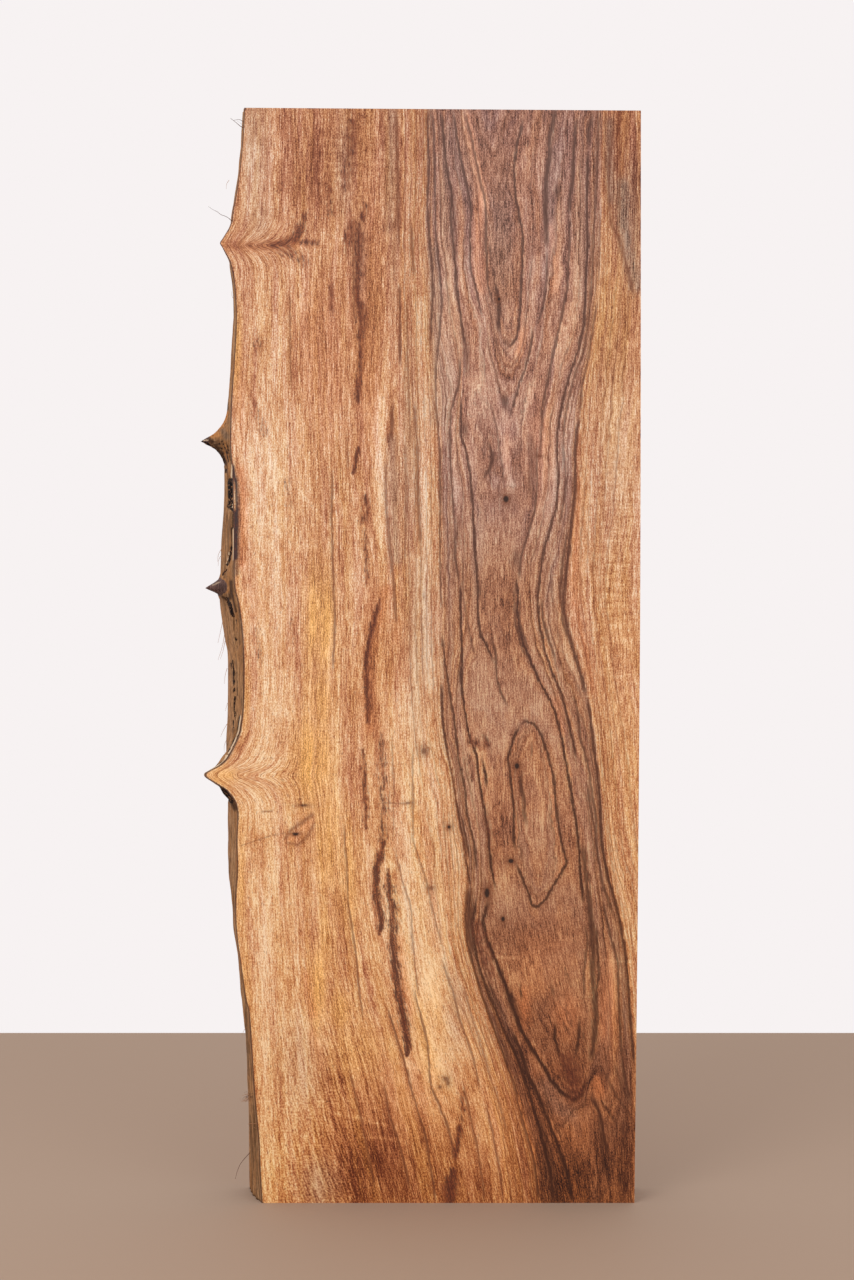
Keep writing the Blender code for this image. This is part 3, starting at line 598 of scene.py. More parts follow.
CURL_PATCHES = [
    (612, 555, 32, 150, 1.0), (612, 400, 20, 60, 0.5), (420, 580, 30, 60, 0.25), (520, 560, 30, 70, 0.25),
    (340, 500, 40, 60, 0.4), (348, 165, 44, 50, 0.9), (320, 740, 20, 90, 0.3), (380, 840, 30, 60, 0.3),
    (390, 1120, 60, 70, 0.3),
]

# Pin knots and pinholes: (column, row, half width, half height, strength)
KNOTS = [
    (506, 499, 3.0, 3.6, 0.95), (517, 766, 2.4, 3.0, 1.0), (511, 861, 2.8, 2.2, 1.0),
    (487, 893, 2.6, 5.0, 1.0), (503, 919, 2.0, 2.6, 0.95), (449, 827, 1.6, 1.8, 0.9),
    (424, 751, 2.8, 3.0, 0.62), (431, 888, 2.4, 2.0, 0.55), (446, 1079, 2.6, 2.0, 0.6),
    (448, 1083, 1.6, 2.4, 0.6), (440, 1087, 1.5, 1.4, 0.6), (295.5, 834, 3.0, 1.3, 1.0),
    (303.5, 805.5, 4.0, 0.9, 0.8), (300, 799, 0.9, 1.1, 0.9), (282, 183, 0.9, 1.6, 0.8),
    (281, 190, 0.9, 1.3, 0.8), (277, 191, 0.8, 1.0, 0.7), (612, 307, 1.0, 1.2, 0.8),
    (540, 456, 3.0, 0.9, 0.6), (499, 299, 1.6, 2.0, 0.9), (520, 367, 1.4, 2.4, 0.7),
    (327, 1101.5, 0.9, 0.9, 0.9), (434, 1183, 1.0, 0.9, 0.9), (438, 803, 1.0, 1.0, 0.5),
    (408, 803, 2.6, 0.8, 0.6),
]

# Thin dark lines on the front face: (strength, half width in pixels, points)
HAIR_LINES = [
    (0.35, 0.6, [(285, 833), (270, 836), (255, 841), (240, 846)]),
    (0.80, 0.9, [(623, 1126), (624, 1137)]),
    (0.45, 2.2, [(286, 838), (291, 830), (300, 824), (312, 815)]),
    (0.35, 1.8, [(288, 843), (298, 845), (308, 836), (314, 824)]),
    (0.40, 1.0, [(262, 812), (272, 811)]),
]

# Strokes of colour on the live edge as the camera sees it: (kind, strength, half width in pixels, points)
LIVE_STROKES = [
    # Bark crust and cracks
    ("black", 1.0, 3.4, [(230.2, 481), (230.6, 492), (231, 503)]),
    ("black", 1.0, 2.6, [(229, 506), (232.5, 508.5), (235, 510)]),
    ("black", 1.0, 1.2, [(231, 547), (230.5, 553), (229, 560), (227, 565)]),
    ("black", 1.0, 1.0, [(226, 570), (222.5, 574.5)]),
    ("black", 1.0, 1.6, [(226.6, 598.5), (229.5, 606)]),
    ("black", 1.0, 2.0, [(229.6, 604), (231, 611), (232.4, 616)]),
    ("brown_and_shade", 1.0, 1.6, [(222, 596.5), (226, 599), (229, 604)]),
    ("brown_and_shade", 1.0, 1.2, [(231, 590), (233.5, 600), (236, 612)]),
    ("black", 0.9, 0.8, [(235.5, 620), (236, 640)]),
    ("black", 0.9, 0.8, [(232.6, 660), (233, 680), (234, 700), (234.3, 718)]),
    ("black", 0.8, 0.7, [(231, 528), (231, 545)]),
    ("black", 0.9, 0.7, [(232.2, 512), (232.4, 528)]),
    ("black", 0.6, 0.7, [(236.5, 672), (236.8, 696)]),
    ("black", 0.8, 0.8, [(230.6, 663), (230.8, 668)]),
    ("black", 0.7, 0.7, [(233, 720), (233, 728)]),
    # Black under the lower cut spur
    ("black", 0.9, 2.6, [(220, 786), (226, 794), (231, 801)]),
    ("black", 0.9, 1.1, [(225.5, 469), (225.5, 472)]),
    ("black", 0.8, 1.0, [(200, 441.5), (206, 443.2), (211, 446)]),
    # Brown shade and fibres
    ("brown_and_shade", 0.9, 1.3, [(227.4, 403), (227.8, 409)]),
    ("brown_and_shade", 1.0, 2.8, [(209.5, 440), (215, 444), (219, 451), (225, 463)]),
    ("black", 0.8, 0.8, [(206, 442.6), (212, 446), (218, 453), (223.5, 465)]),
    ("black", 0.7, 0.6, [(218.5, 441), (221.5, 449), (224.5, 461)]),
    ("black", 0.7, 0.6, [(221.7, 441), (225.5, 450), (228, 462)]),
    ("black", 0.6, 0.6, [(226, 443), (228.6, 451), (230.2, 461)]),
    ("brown_and_shade", 1.0, 0.8, [(218, 441), (222, 449), (225, 461)]),
    ("brown_and_shade", 1.0, 0.8, [(221.7, 441), (225.5, 450), (228, 461)]),
    ("brown_and_shade", 0.9, 0.7, [(225.5, 442), (228, 450), (230, 460)]),
    ("brown_and_shade", 0.8, 0.7, [(227, 463), (228, 478)]),
    ("brown_and_shade", 0.9, 2.4, [(231, 582), (231.5, 590), (230, 598)]),
    ("brown_and_shade", 0.6, 0.8, [(238, 600), (239.5, 620), (240, 645)]),
    ("brown_and_shade", 0.6, 1.6, [(233, 729), (234.5, 739)]),
    ("brown_and_shade", 0.9, 3.2, [(222, 787), (229, 796), (235, 808)]),
    ("brown_and_shade", 0.6, 0.9, [(229, 520), (229, 540), (228, 556)]),
    ("brown_and_shade", 0.5, 0.8, [(224, 600), (227, 625), (229, 650)]),
    ("brown_and_shade", 0.7, 0.8, [(245, 985), (247, 1030), (248.5, 1075)]),
    ("brown_and_shade", 0.7, 0.9, [(253, 1105), (256, 1150), (257.5, 1190)]),
    ("brown_and_shade", 0.6, 0.8, [(250, 1115), (252, 1160), (253, 1185)]),
    ("brown_and_shade", 0.8, 2.0, [(250, 1192), (256, 1202)]),
    # Ochre where the outer wood is freshly torn, and a painted highlight along the long thorn's upper side
    ("ochre", 1.0, 2.2, [(212, 435), (218, 429), (224, 421), (227, 413)]),
    ("ochre", 0.8, 0.8, [(220, 442), (224, 450), (227, 461)]),
    ("ochre", 0.8, 0.8, [(223.6, 441), (227, 450), (229.2, 460)]),
    ("ochre", 0.9, 0.8, [(234.6, 731), (234.2, 738)]),
    ("ochre", 1.0, 0.9, [(229.3, 490), (229.5, 492)]),
    ("ochre", 0.6, 1.6, [(227, 464), (228, 478)]),
    # Pale splits, and painted highlights on the long thorn's tip and on the short thorn's cone
    ("pale", 0.6, 0.8, [(203.5, 440.6), (209, 439.8)]),
    ("pale", 0.9, 0.7, [(232, 465), (231.3, 478)]),
    ("pale", 0.9, 0.5, [(233.2, 528), (233.3, 560)]),
    ("pale", 0.6, 0.4, [(229.5, 547), (228.9, 553), (227.2, 560), (225.2, 565)]),
    ("pale", 1.0, 0.8, [(231.6, 505), (231.8, 506.4)]),
    ("pale", 0.42, 1.2, [(212, 585.4), (220, 582)]),
    # Grey
    ("ash", 0.9, 3.4, [(222.5, 431), (226.5, 437)]),
]

# Loose fibres: (thickness in mm, its finish, points in pixels from the edge outwards)
LOOSE_FIBRES = [
    (0.75, DARK_FIBRE, [(244.6, 127.8), (241, 126.5), (235.7, 122.2), (230.3, 118)]),
    (0.65, DARK_FIBRE, [(245, 123.6), (241.5, 120.5), (238.6, 119.4), (233.6, 120.4)]),
    (0.30, DARK_FIBRE, [(244, 126.4), (240, 122.5), (236.5, 120.6)]),
    (0.60, DARK_FIBRE, [(232.6, 222), (229, 218.4), (225, 216), (221, 214.6), (217, 211.6), (213, 209.6),
        (208.5, 206.4)]),
    (0.65, DARK_FIBRE, [(250.5, 1152), (245, 1158), (240.4, 1164), (237.4, 1171), (235.3, 1179)]),
    (0.46, PALE_FIBRE, [(221.4, 549), (219, 553), (217.8, 558), (217.4, 562)]),
    (0.46, PALE_FIBRE, [(220.8, 556), (218.6, 560), (218.2, 566)]),
    (0.46, PALE_FIBRE, [(222.5, 622), (220.4, 632), (217.8, 643)]),
    (0.5, PALE_FIBRE, [(224.6, 634), (222.4, 646), (218, 660)]),
    (0.46, PALE_FIBRE, [(225, 641), (223.2, 650), (220.4, 659)]),
    (0.46, PALE_FIBRE, [(227.2, 668), (225, 676), (224.5, 684)]),
    (0.44, PALE_FIBRE, [(229, 700), (226.6, 706), (225.3, 711)]),
    (0.46, PALE_FIBRE, [(227, 724), (223, 731), (220.6, 737)]),
    (0.42, PALE_FIBRE, [(227.5, 738), (224.4, 745), (224.2, 753)]),
    (0.44, PALE_FIBRE, [(246.8, 1027), (243.6, 1031), (242.4, 1036)]),
    (0.42, PALE_FIBRE, [(234.6, 300), (232, 296), (231.6, 291)]),
    (0.42, PALE_FIBRE, [(229.2, 180), (226.6, 184), (226.2, 189)]),
]

# Short splinters that lie on the live edge: (thickness in mm, ends in pixels)
SPLINTERS = [
    (0.6, [(235.4, 631.2), (240.6, 631.8)]), (0.55, [(239.2, 656.8), (243.2, 658.6)]),
    (0.6, [(248.6, 1124), (257, 1123.4)]), (0.45, [(254.2, 1127.4), (256.6, 1128.4)]),
    (0.4, [(252.6, 1131.6), (255, 1133)]), (0.4, [(222.2, 574.6), (226.6, 569.4)]),
    (0.4, [(223.6, 575.6), (228.4, 570.2)]), (0.35, [(225.6, 563.4), (228.8, 556.4)]),
]

# A tuft of torn fibres: the box it stands in, in pixels
TUFT_LEFT, TUFT_RIGHT, TUFT_TOP, TUFT_FOOT = 241.5, 254.0, 1090.0, 1101.0
TUFT_FIBRES = 22

# The back face's own pin knots
BACK_KNOTS = [
    (-60.0, 700.0, 3.0, 4.5, 1.0), (40.0, 300.0, 2.6, 4.0, 0.9), (90.0, 520.0, 2.2, 3.2, 0.8),
    (130.0, 840.0, 2.4, 3.2, 0.8), (-100.0, 240.0, 2.0, 2.6, 0.8),
]

# How far the grain leans to the right below the middle of the board, as (row, columns)
GRAIN_LEAN = [
    (0, 0), (800, 0), (850, 2), (900, 6), (985, 20), (1060, 40), (1130, 57), (1280, 92),
]

# Each vein lies in one of a few layers, on the vertices within its reach. All in pixels: its reach, where its
# shade has faded, over how many it fades, and how long its ends are.
VEIN_LAYERS = 8
VEIN_REACH, VEIN_FADED, VEIN_FADING, VEIN_RUN_OUT = 8.6, 7.0, 2.6, 14.0

# Streaks of more rows than this taper at both ends, over so many rows, from this share of their width
LONG_STREAK, STREAK_RUN_OUT, STREAK_END = 30, 16, 0.4

# A knot's halo: its strength and size. Knots no wider than a pinhole have none.
KNOT_HALO, KNOT_HALO_SIZE, PINHOLE = 0.45, 7.0, 1.4

# How far into the face each cut spur draws the grain, in pixels, and the share of it that is lost at the back
CUT_SPUR_PULL = (30.0, 34.0)
PULL_LOST = 0.6

# Ridges of drawn grain beside the cut spurs: (row, rows it falls in each column, half height, by how many
# columns it draws the grain, over how many it grows, where it ends, over how many it fades)
GRAIN_RIDGES = [(244.5, 0.02, 8.5, 20.0, 30.0, 84, 56.0), (777.0, 0.0, 13.0, 7.0, 20.0, 70, 50.0)]

# Where the short thorn's smooth skin ends, as it is seen: (row, column)
CONE_FOOT = [
    (577, 214), (578, 220), (580, 224), (583, 226.4), (586, 227),
    (590, 226.8), (593, 225), (595, 221), (597, 214),
]

# How deep the pith lies behind the front face, and how near a face a vertex counts as lying in it
PITH_DEPTH = 150.0
AT_SURFACE = 0.01

# Each wood's two palettes, cool and warm, from its darkest to its palest
SAPWOOD_PALETTES = (
    ("#682f18", "#935236", "#ba7a58", "#d7a07a", "#ebc8a7", "#f8e3cb"),
    ("#6a3415", "#9a5c31", "#c18250", "#dca670", "#efcb9d", "#fae4c2"),
)
HEARTWOOD_PALETTES = (
    ("#361f18", "#613e35", "#8b6053", "#ac7f70", "#c9a18e", "#dfc1ab"),
    ("#3c1e12", "#71422d", "#a06647", "#c48965", "#deab84", "#ecc8a2"),
)

# The floor in metres, and each light: its place, what it points at, its size in metres and its power in watts
FLOOR_HALF_WIDTH, FLOOR_FRONT, FLOOR_BACK = 4.0, -3.5, 0.69
LIGHTS = {
    "key light": ((-1.25, -1.7, 1.5), (0.0, 0.0, 0.55), 1.1, 16.5),
    "fill light": ((1.3, -1.6, 0.9), (0.0, 0.0, 0.5), 1.2, 6.8),
}


def linear(colour):
    """A linear colour, from an sRGB hex code, from one number for a grey, or from its own three parts."""
    if isinstance(colour, str):
        parts = [int(colour[place : place + 2], 16) / 255 for place in (1, 3, 5)]
        parts = [part / 12.92 if part <= 0.04045 else ((part + 0.055) / 1.055) ** 2.4 for part in parts]
    else:
        parts = colour if isinstance(colour, tuple) else [colour] * 3
    return (*parts, 1.0)


def curve_through(points, at):
    """The values at AT of a smooth curve through POINTS, which rise in their first number."""
    table = np.array(points, float)
    stops, values = table[:, 0], table[:, 1]
    last = len(stops) - 1
    before = np.maximum(np.arange(last + 1) - 1, 0)
    after = np.minimum(np.arange(last + 1) + 1, last)
    slopes = (values[after] - values[before]) / (stops[after] - stops[before])
    at = np.asarray(at, float)
    left = np.clip(np.searchsorted(stops, at, side="right") - 1, 0, last - 1)
    span = stops[left + 1] - stops[left]
    part = (at - stops[left]) / span
    return (
        values[left] * (1 + 2 * part) * (1 - part) ** 2
        + values[left + 1] * part * part * (3 - 2 * part)
        + span * part * (1 - part) * (slopes[left] * (1 - part) - slopes[left + 1] * part)
    )


def ease(value):
    """0 below 0, 1 above 1, and smooth between."""
    value = np.clip(value, 0.0, 1.0)
    return value * value * (3 - 2 * value)


def hump(*offsets):
    """1 where all OFFSETS are 0, falling softly to nearly 0 where any of them is 2 or more."""
    return np.exp(-sum(offset**2 for offset in offsets))


def rough(points, seed):
    """Smooth noise from -1 to 1 at each row of POINTS."""
    return np.array([noise.noise(Vector((*point, seed))) for point in points])


def column_row(x, z):
    """Where a point of the front face shows in the photograph."""
    return MIDDLE_COLUMN + (x - CAMERA_X) / MM_PER_PIXEL, MIDDLE_ROW + (CAMERA_Z - z) / MM_PER_PIXEL


def on_face(column, row):
    """The x and z of what shows at a column and row, on the front face."""
    return CAMERA_X + (column - MIDDLE_COLUMN) * MM_PER_PIXEL, CAMERA_Z - (row - MIDDLE_ROW) * MM_PER_PIXEL


def seen_place(points):
    """The column and row where the camera sees each point."""
    away = MM_PER_PIXEL * (1 + (points[:, 1] + THICKNESS / 2) / CAMERA_TO_FACE)
    return MIDDLE_COLUMN + (points[:, 0] - CAMERA_X) / away, MIDDLE_ROW + (CAMERA_Z - points[:, 2]) / away


def behind(column, row, depth):
    """The x and z of what shows at a column and row, at a depth behind the front face."""
    away = MM_PER_PIXEL * (1 + depth / CAMERA_TO_FACE)
    return CAMERA_X + (column - MIDDLE_COLUMN) * away, CAMERA_Z - (row - MIDDLE_ROW) * away


def top_height(x):
    """The sawn top falls a little from the live edge to the sawn edge."""
    run = SAWN_EDGE[-1][1] - FRONT_ARRIS[-1][1]
    fall = HEIGHT_AT_SAWN_EDGE - HEIGHT_AT_LIVE_EDGE
    return HEIGHT_AT_LIVE_EDGE + fall * (x - FRONT_ARRIS[-1][1]) / run


SPURS = [Spur(**facts) for facts in (LONG_THORN, SHORT_THORN, UPPER_CUT_SPUR, LOWER_CUT_SPUR)]


def seam_strength(height, depth, half_width):
    """1 along the seam between the live edge's two lobes, fading beside it and at its ends."""
    ends = ease((height - SEAM[0][0]) / SEAM_RUN_OUT) * ease((SEAM[-1][0] - height) / SEAM_RUN_OUT)
    return ends * hump((depth - curve_through(SEAM, height)) / half_width)


def from_pocket(height, depth):
    """0 in the middle of the bark pocket, 1 at its border, and more outside."""
    return np.hypot((height - POCKET_HEIGHT) / POCKET_REACH_UP, (depth - POCKET_DEPTH) / POCKET_REACH_ACROSS)


def live_edge(height, depth):
    """Points of the live edge at these heights and depths behind the front face, shaped as the solid is."""
    fade = ease(depth / RELIEF_FADE) * ease((THICKNESS - depth) / RELIEF_FADE)
    sway = sum(amount * np.sin(height / length + start) for amount, length, start in RIDGE_SWAY)
    relief = RIDGE_HEIGHT * np.sin(math.tau * (depth / RIDGE_SPACING + sway))
    relief += KNURL_HEIGHT * rough(np.column_stack([height / KNURL_LENGTH, depth / KNURL_WIDTH]), KNURL_SEED)
    swelling = np.zeros(len(height))
    for middle, inward, reach_up, reach_across, top in SWELLINGS:
        swelling += top * hump((height - middle) / reach_up, (depth - inward) / reach_across)
    swelling *= ease(depth / SWELLING_START)
    seam = SEAM_DEPTH * seam_strength(height, depth, SEAM_HALF_WIDTH)
    pocket = POCKET_SINK * ease(POCKET_STEEPNESS * (1.0 - from_pocket(height, depth)))
    part = depth / THICKNESS
    x = curve_through(FRONT_ARRIS, height) * (1 - part) + curve_through(BACK_ARRIS, height) * part
    x += seam + pocket - BULGE * 4 * part * (1 - part) - fade * relief - swelling
    points = np.column_stack([x, depth - THICKNESS / 2, height])
    for spur in SPURS:
        points += spur.rise(height, depth)[:, None] * spur.axis
    return points


def front_outline(height):
    """The x of the front arris, cut spurs included."""
    height = np.clip(height, 0, FRONT_ARRIS[-1][0])
    return live_edge(height, np.zeros(len(height)))[:, 0]


def arris_column(row):
    """The column of the front arris without its cut spurs."""
    height = np.clip(on_face(0, row)[1], 0, FRONT_ARRIS[-1][0])
    return column_row(curve_through(FRONT_ARRIS, height), 0)[0]


def along_line(column, row, points):
    """How far each place is from the line through POINTS, below 0 on one side, and from its nearer end."""
    nearest = np.full(len(column), np.inf)
    side, along = np.zeros(len(column)), np.zeros(len(column))
    gone = 0.0
    for (x0, y0), (x1, y1) in zip(points, points[1:]):
        run = np.array([x1 - x0, y1 - y0], float)
        length = np.hypot(*run)
        part = np.clip(((column - x0) * run[0] + (row - y0) * run[1]) / length**2, 0, 1)
        away = np.hypot(column - x0 - part * run[0], row - y0 - part * run[1])
        closer = away < nearest
        turned = (column - x0) * run[1] - (row - y0) * run[0]
        nearest = np.where(closer, away, nearest)
        side = np.where(closer, np.sign(turned) * away, side)
        along = np.where(closer, gone + part * length, along)
        gone += length
    return side, np.minimum(along, gone - along)


def near_line(column, row, points):
    """How far each place is from the line through POINTS."""
    nearest = np.full(len(column), np.inf)
    for (x0, y0), (x1, y1) in zip(points, points[1:]):
        run = np.array([x1 - x0, y1 - y0], float)
        part = np.clip(((column - x0) * run[0] + (row - y0) * run[1]) / (run @ run), 0, 1)
        nearest = np.minimum(nearest, np.hypot(column - x0 - part * run[0], row - y0 - part * run[1]))
    return nearest


def vein_layers(column, row, lines):
    """Veins as vectors: the distance to the nearest in mm, its strength and its half width in mm.

    Veins that lie near each other never share a layer.
    """
    layers = [np.zeros((len(column), 3)) for _ in range(VEIN_LAYERS)]
    taken = [np.zeros(len(column), bool) for _ in range(VEIN_LAYERS)]
    for strength, half, line in lines:
        side, to_end = along_line(column, row, line)
        near = np.abs(side) < VEIN_REACH
        clashes = [np.count_nonzero(near & used) for used in taken]
        best = int(np.argmin(clashes))
        if clashes[best]:
            near &= ~taken[best]
        taken[best] |= near
        fade = ease((VEIN_FADED - np.abs(side)) / VEIN_FADING) * ease(to_end / VEIN_RUN_OUT + 0.15)
        vein = np.column_stack([side * MM_PER_PIXEL, strength * fade, np.full(len(side), half)])
        layers[best][near] = vein[near]
    return layers


def patches(column, row, spots):
    """The strongest of some soft spots at each place."""
    found = np.zeros(len(column))
    for x, y, across, up, strength in spots:
        away = ((column - x) / across) ** 2 + ((row - y) / up) ** 2
        found = np.maximum(found, strength * np.exp(-away * np.sqrt(away + 0.2)))
    return found


class EdgeView:
    """The live edge as the camera sees it: its column at each row and depth."""

    def __init__(self):
        self.rows = np.arange(TOP_ROW, FOOT_ROW, 1.0)
        self.depths = np.arange(0.0, THICKNESS + 0.1, 1.0)
        heights = np.arange(0.0, HEIGHT_AT_LIVE_EDGE, 0.8)
        self.columns = []
        for depth in self.depths:
            column, row = seen_place(live_edge(heights, np.full(len(heights), depth)))
            self.columns.append(np.interp(self.rows, row[::-1], column[::-1]))
        self.columns = np.array(self.columns)
        self.reach = np.minimum.accumulate(self.columns, axis=0)

    def arris(self, row):
        return np.interp(row, self.rows, self.columns[0])

    def shows(self, column, row, depth):
        """1 where nothing nearer the camera hides the live edge."""
        index = np.clip(np.round(depth).astype(int), 0, len(self.depths) - 1)
        place = np.clip(np.round(row - self.rows[0]).astype(int), 0, len(self.rows) - 1)
        return ease(1.6 - (column - self.reach[index, place]))

    def depth_at(self, column, row):
        """How deep the live edge lies where it shows at a column and row, or else its outermost depth."""
        line = self.columns[:, int(np.clip(round(row - self.rows[0]), 0, len(self.rows) - 1))]
        below = np.nonzero(line <= column)[0]
        return self.depths[below[0]] if len(below) else self.depths[int(np.argmin(line))]


class RingField:
    """A smooth field over the front face that has the given value along each growth ring."""

    STRETCH = 0.28
    SOFTNESS = 12.0

    def __init__(self):
        rows = np.arange(90, 1230, 26.0)
        points = [(column, row, RING_AT_ARRIS) for column, row in zip(arris_column(rows), rows)]
        for value, line in RINGS.values():
            points += [(column, row, value) for column, row in line]
        points = np.array(points)
        self.centres = points[:, :2] * (1, self.STRETCH)
        count = len(points)
        system = np.zeros((count + 3, count + 3))
        system[:count, :count] = self.plate(self.centres) + self.SOFTNESS * np.eye(count)
        system[:count, count] = system[count, :count] = 1
        system[:count, count + 1 :] = self.centres
        system[count + 1 :, :count] = self.centres.T
        self.weights = np.linalg.solve(system, np.concatenate([points[:, 2], np.zeros(3)]))

    def plate(self, places):
        apart = ((places[:, None, :] - self.centres[None, :, :]) ** 2).sum(2)
        return 0.5 * apart * np.log(apart + 1e-9)

    def at(self, column, row):
        places = np.column_stack([column, row * self.STRETCH])
        found = np.empty(len(places))
        for start in range(0, len(places), 4000):
            some = places[start : start + 4000]
            flat = self.weights[-3] + some @ self.weights[-2:]
            found[start : start + 4000] = self.plate(some) @ self.weights[:-3] + flat
        return found


def pull_of_spurs(column, row):
    """How many columns the grain is drawn towards the tips of the two cut spurs."""
    height = on_face(column, row)[1]
    inside = column - arris_column(row)
    shift = np.zeros(len(column))
    for spur, reach in zip(SPURS[2:], CUT_SPUR_PULL):
        out = spur.rise(height, np.zeros(len(column))) / MM_PER_PIXEL
        shift += out * np.exp(-np.maximum(inside, 0) / reach)
    for middle, fall, half, columns, growing, stop, fading in GRAIN_RIDGES:
        ridge = ease((inside + 6) / growing) * ease((stop - inside) / fading)
        shift += columns * ridge * np.exp(-np.abs(row - middle - fall * inside) / half)
    return shift


def soft_strokes(column, row, pull):
    """How strong each kind of STROKES is at each place."""
    kinds = "streak", "dark", "pale", "ruddy", "gold", "ash", "bruise"
    soft = {kind: np.zeros(len(column)) for kind in kinds}
    for kind, strength, half, line in STROKES:
        near = near_line(column + 0.3 * pull, row, line) / half
        first, last = line[0][1], line[-1][1]
        if kind == "streak" and last - first > LONG_STREAK:
            to_end = np.minimum(row - first, last - row) / STREAK_RUN_OUT
            near = near / np.clip(to_end + STREAK_END, STREAK_END, 1.0)
        soft[kind] = np.maximum(soft[kind], strength * hump(near))
    return soft


def knots_and_hair_lines(column, row, x, z, depth):
    """How strong the knots, pinholes and hair lines are. Each shows only on its own face."""
    mark = np.zeros(len(x))
    for strength, half, line in HAIR_LINES:
        mark = np.maximum(mark, strength * hump(near_line(column, row, line) / half))
    for middle_column, middle_row, half_width, half_height, strength in KNOTS:
        away = ((column - middle_column) / half_width) ** 2 + ((row - middle_row) / half_height) ** 2
        halo = KNOT_HALO * np.exp(-away / KNOT_HALO_SIZE) * (half_width > PINHOLE)
        mark = np.maximum(mark, strength * np.minimum(np.exp(-(away**1.5)) + halo, 1.0))
    mark *= depth < AT_SURFACE
    for middle_x, middle_z, half_x, half_z, strength in BACK_KNOTS:
        spot = hump((x - middle_x) / half_x, (z - middle_z) / half_z)
        mark = np.maximum(mark, strength * spot * (depth > THICKNESS - AT_SURFACE))
    return mark


def wood_at(points, rings):
    """What the wood is like at each point: its grain, growth ring, and marks."""
    x, depth, z = points[:, 0], points[:, 1] + THICKNESS / 2, points[:, 2]
    column, row = column_row(x, z)
    front = depth < AT_SURFACE
    pull = pull_of_spurs(column, row) * (1 - PULL_LOST * depth / THICKNESS)
    ring = rings.at(column + pull, row)
    pulled = pull_of_spurs(column + 1, row) * (pull / np.maximum(pull, 1e-6))
    beside = rings.at(column + 1 + pulled, row) - ring
    below = rings.at(column + pull, row + 1) - ring
    slope = np.clip(np.hypot(beside, below) / MM_PER_PIXEL, 0.2, 4.0)

    # Behind the front face the rings curve round the pith
    inward = ring * ring + (PITH_DEPTH - depth) ** 2 - PITH_DEPTH**2
    inner = np.sign(inward) * np.sqrt(np.abs(inward))
    slope = np.where(front, slope, slope * np.abs(ring) / np.maximum(np.abs(inner), 4.0) + 0.3)
    ring = np.where(front, ring, inner)

    # The grain leans most in the middle of the face, and less towards both edges
    lean = 0.25 + 0.75 * ease((column - 250) / 130.0) - 0.5 * ease((column - 560) / 90.0)
    fibre = on_face(column + pull - curve_through(GRAIN_LEAN, row) * lean, row)[0]
    veins = vein_layers(column, row, VEINS)
    for vein in veins:
        vein[~front, 1] = 0.0
    soft = soft_strokes(column, row, pull)
    light = patches(column, row, PALE_PATCHES) - patches(column, row, DARK_PATCHES)
    rim_width = 0.9 + 0.7 * hump((row - 755) / 36.0)
    spots = {"gold": GOLD_PATCHES, "ruddy": RUDDY_PATCHES, "ash": ASH_PATCHES}
    return {
        "grain": np.column_stack([fibre, depth, z]),
        "ring": ring,
        "slope": slope,
        **{f"vein_{place}": layer for place, layer in enumerate(veins)},
        "streak": soft["streak"],
        "bruise": soft["bruise"] * front,
        "rim": hump((column - column_row(front_outline(z), 0)[0]) / rim_width) * front,
        "mark": knots_and_hair_lines(column, row, x, z, depth),
        "tone": light + soft["pale"] - soft["dark"],
        **{kind: np.maximum(patches(column, row, places), soft[kind]) for kind, places in spots.items()},
        "curl": patches(column, row, CURL_PATCHES),
    }


def even_steps(start, stop, step):
    return np.linspace(start, stop, max(1, round((stop - start) / step)) + 1)


class Shell:
    """The board's closed surface while it is being made."""

    def __init__(self):
        self.points = []
        self.triangles = []
        self.finishes = []

    def add(self, points):
        first = len(self.points)
        self.points += [tuple(point) for point in points]
        return list(range(first, len(self.points)))

    def fill(self, loop, inside, plan, finish, turned=False):
        """Fills the closed LOOP with triangles on it and the vertices INSIDE. PLAN has their flat places."""
        corners = loop + inside
        places = [Vector(place) for place in plan]
        found = delaunay_2d_cdt(places, [], [list(range(len(loop)))], 1, 1e-4)
        if len(found[0]) != len(corners):
            raise ValueError("two vertices of the plan lie on each other")
        corners = np.array([corners[source[0]] for source in found[3]])
        flat = np.array([place[:] for place in found[0]])
        faces = np.array(found[2])
        start, second, third = (flat[faces[:, side]] for side in range(3))
        (x2, y2), (x3, y3) = (second - start).T, (third - start).T
        wrong = (x2 * y3 - y2 * x3 < 0) != turned
        faces[wrong] = faces[wrong][:, ::-1]
        self.triangles.append(corners[faces])
        self.finishes.append(np.full(len(faces), finish))


def cell_of(point, distance):
    return int(point[0] // distance), int(point[1] // distance)


def stands_clear(point, cells, distance):
    """Whether POINT is at least DISTANCE from every point in CELLS, which are DISTANCE wide."""
    across, up = cell_of(point, distance)
    near = [other for i in (-1, 0, 1) for j in (-1, 0, 1) for other in cells.get((across + i, up + j), ())]
    least = distance * distance
    return all((point[0] - other[0]) ** 2 + (point[1] - other[1]) ** 2 >= least for other in near)


def clear_of(points, others, distance):
    """Those of POINTS that are at least DISTANCE from all OTHERS."""
    cells = {}
    for other in others:
        cells.setdefault(cell_of(other, distance), []).append(other)
    return np.array([point for point in points if stands_clear(point, cells, distance)])


def thin_out(points, distance):
    """POINTS without those that lie closer than DISTANCE to an earlier one."""
    cells, kept = {}, []
    for point in points:
        if stands_clear(point, cells, distance):
            cells.setdefault(cell_of(point, distance), []).append(point)
            kept.append(point)
    return np.array(kept)


def staggered(low_x, high_x, low_z, high_z, step):
    """A grid whose every second row is shifted by half a step."""
    rows = []
    for number, z in enumerate(np.arange(low_z, high_z, step * ROW_STEP)):
        across = np.arange(low_x + step / 2 * (number % 2), high_x, step)
        rows.append(np.column_stack([across, np.full(len(across), z)]))
    return np.concatenate(rows)


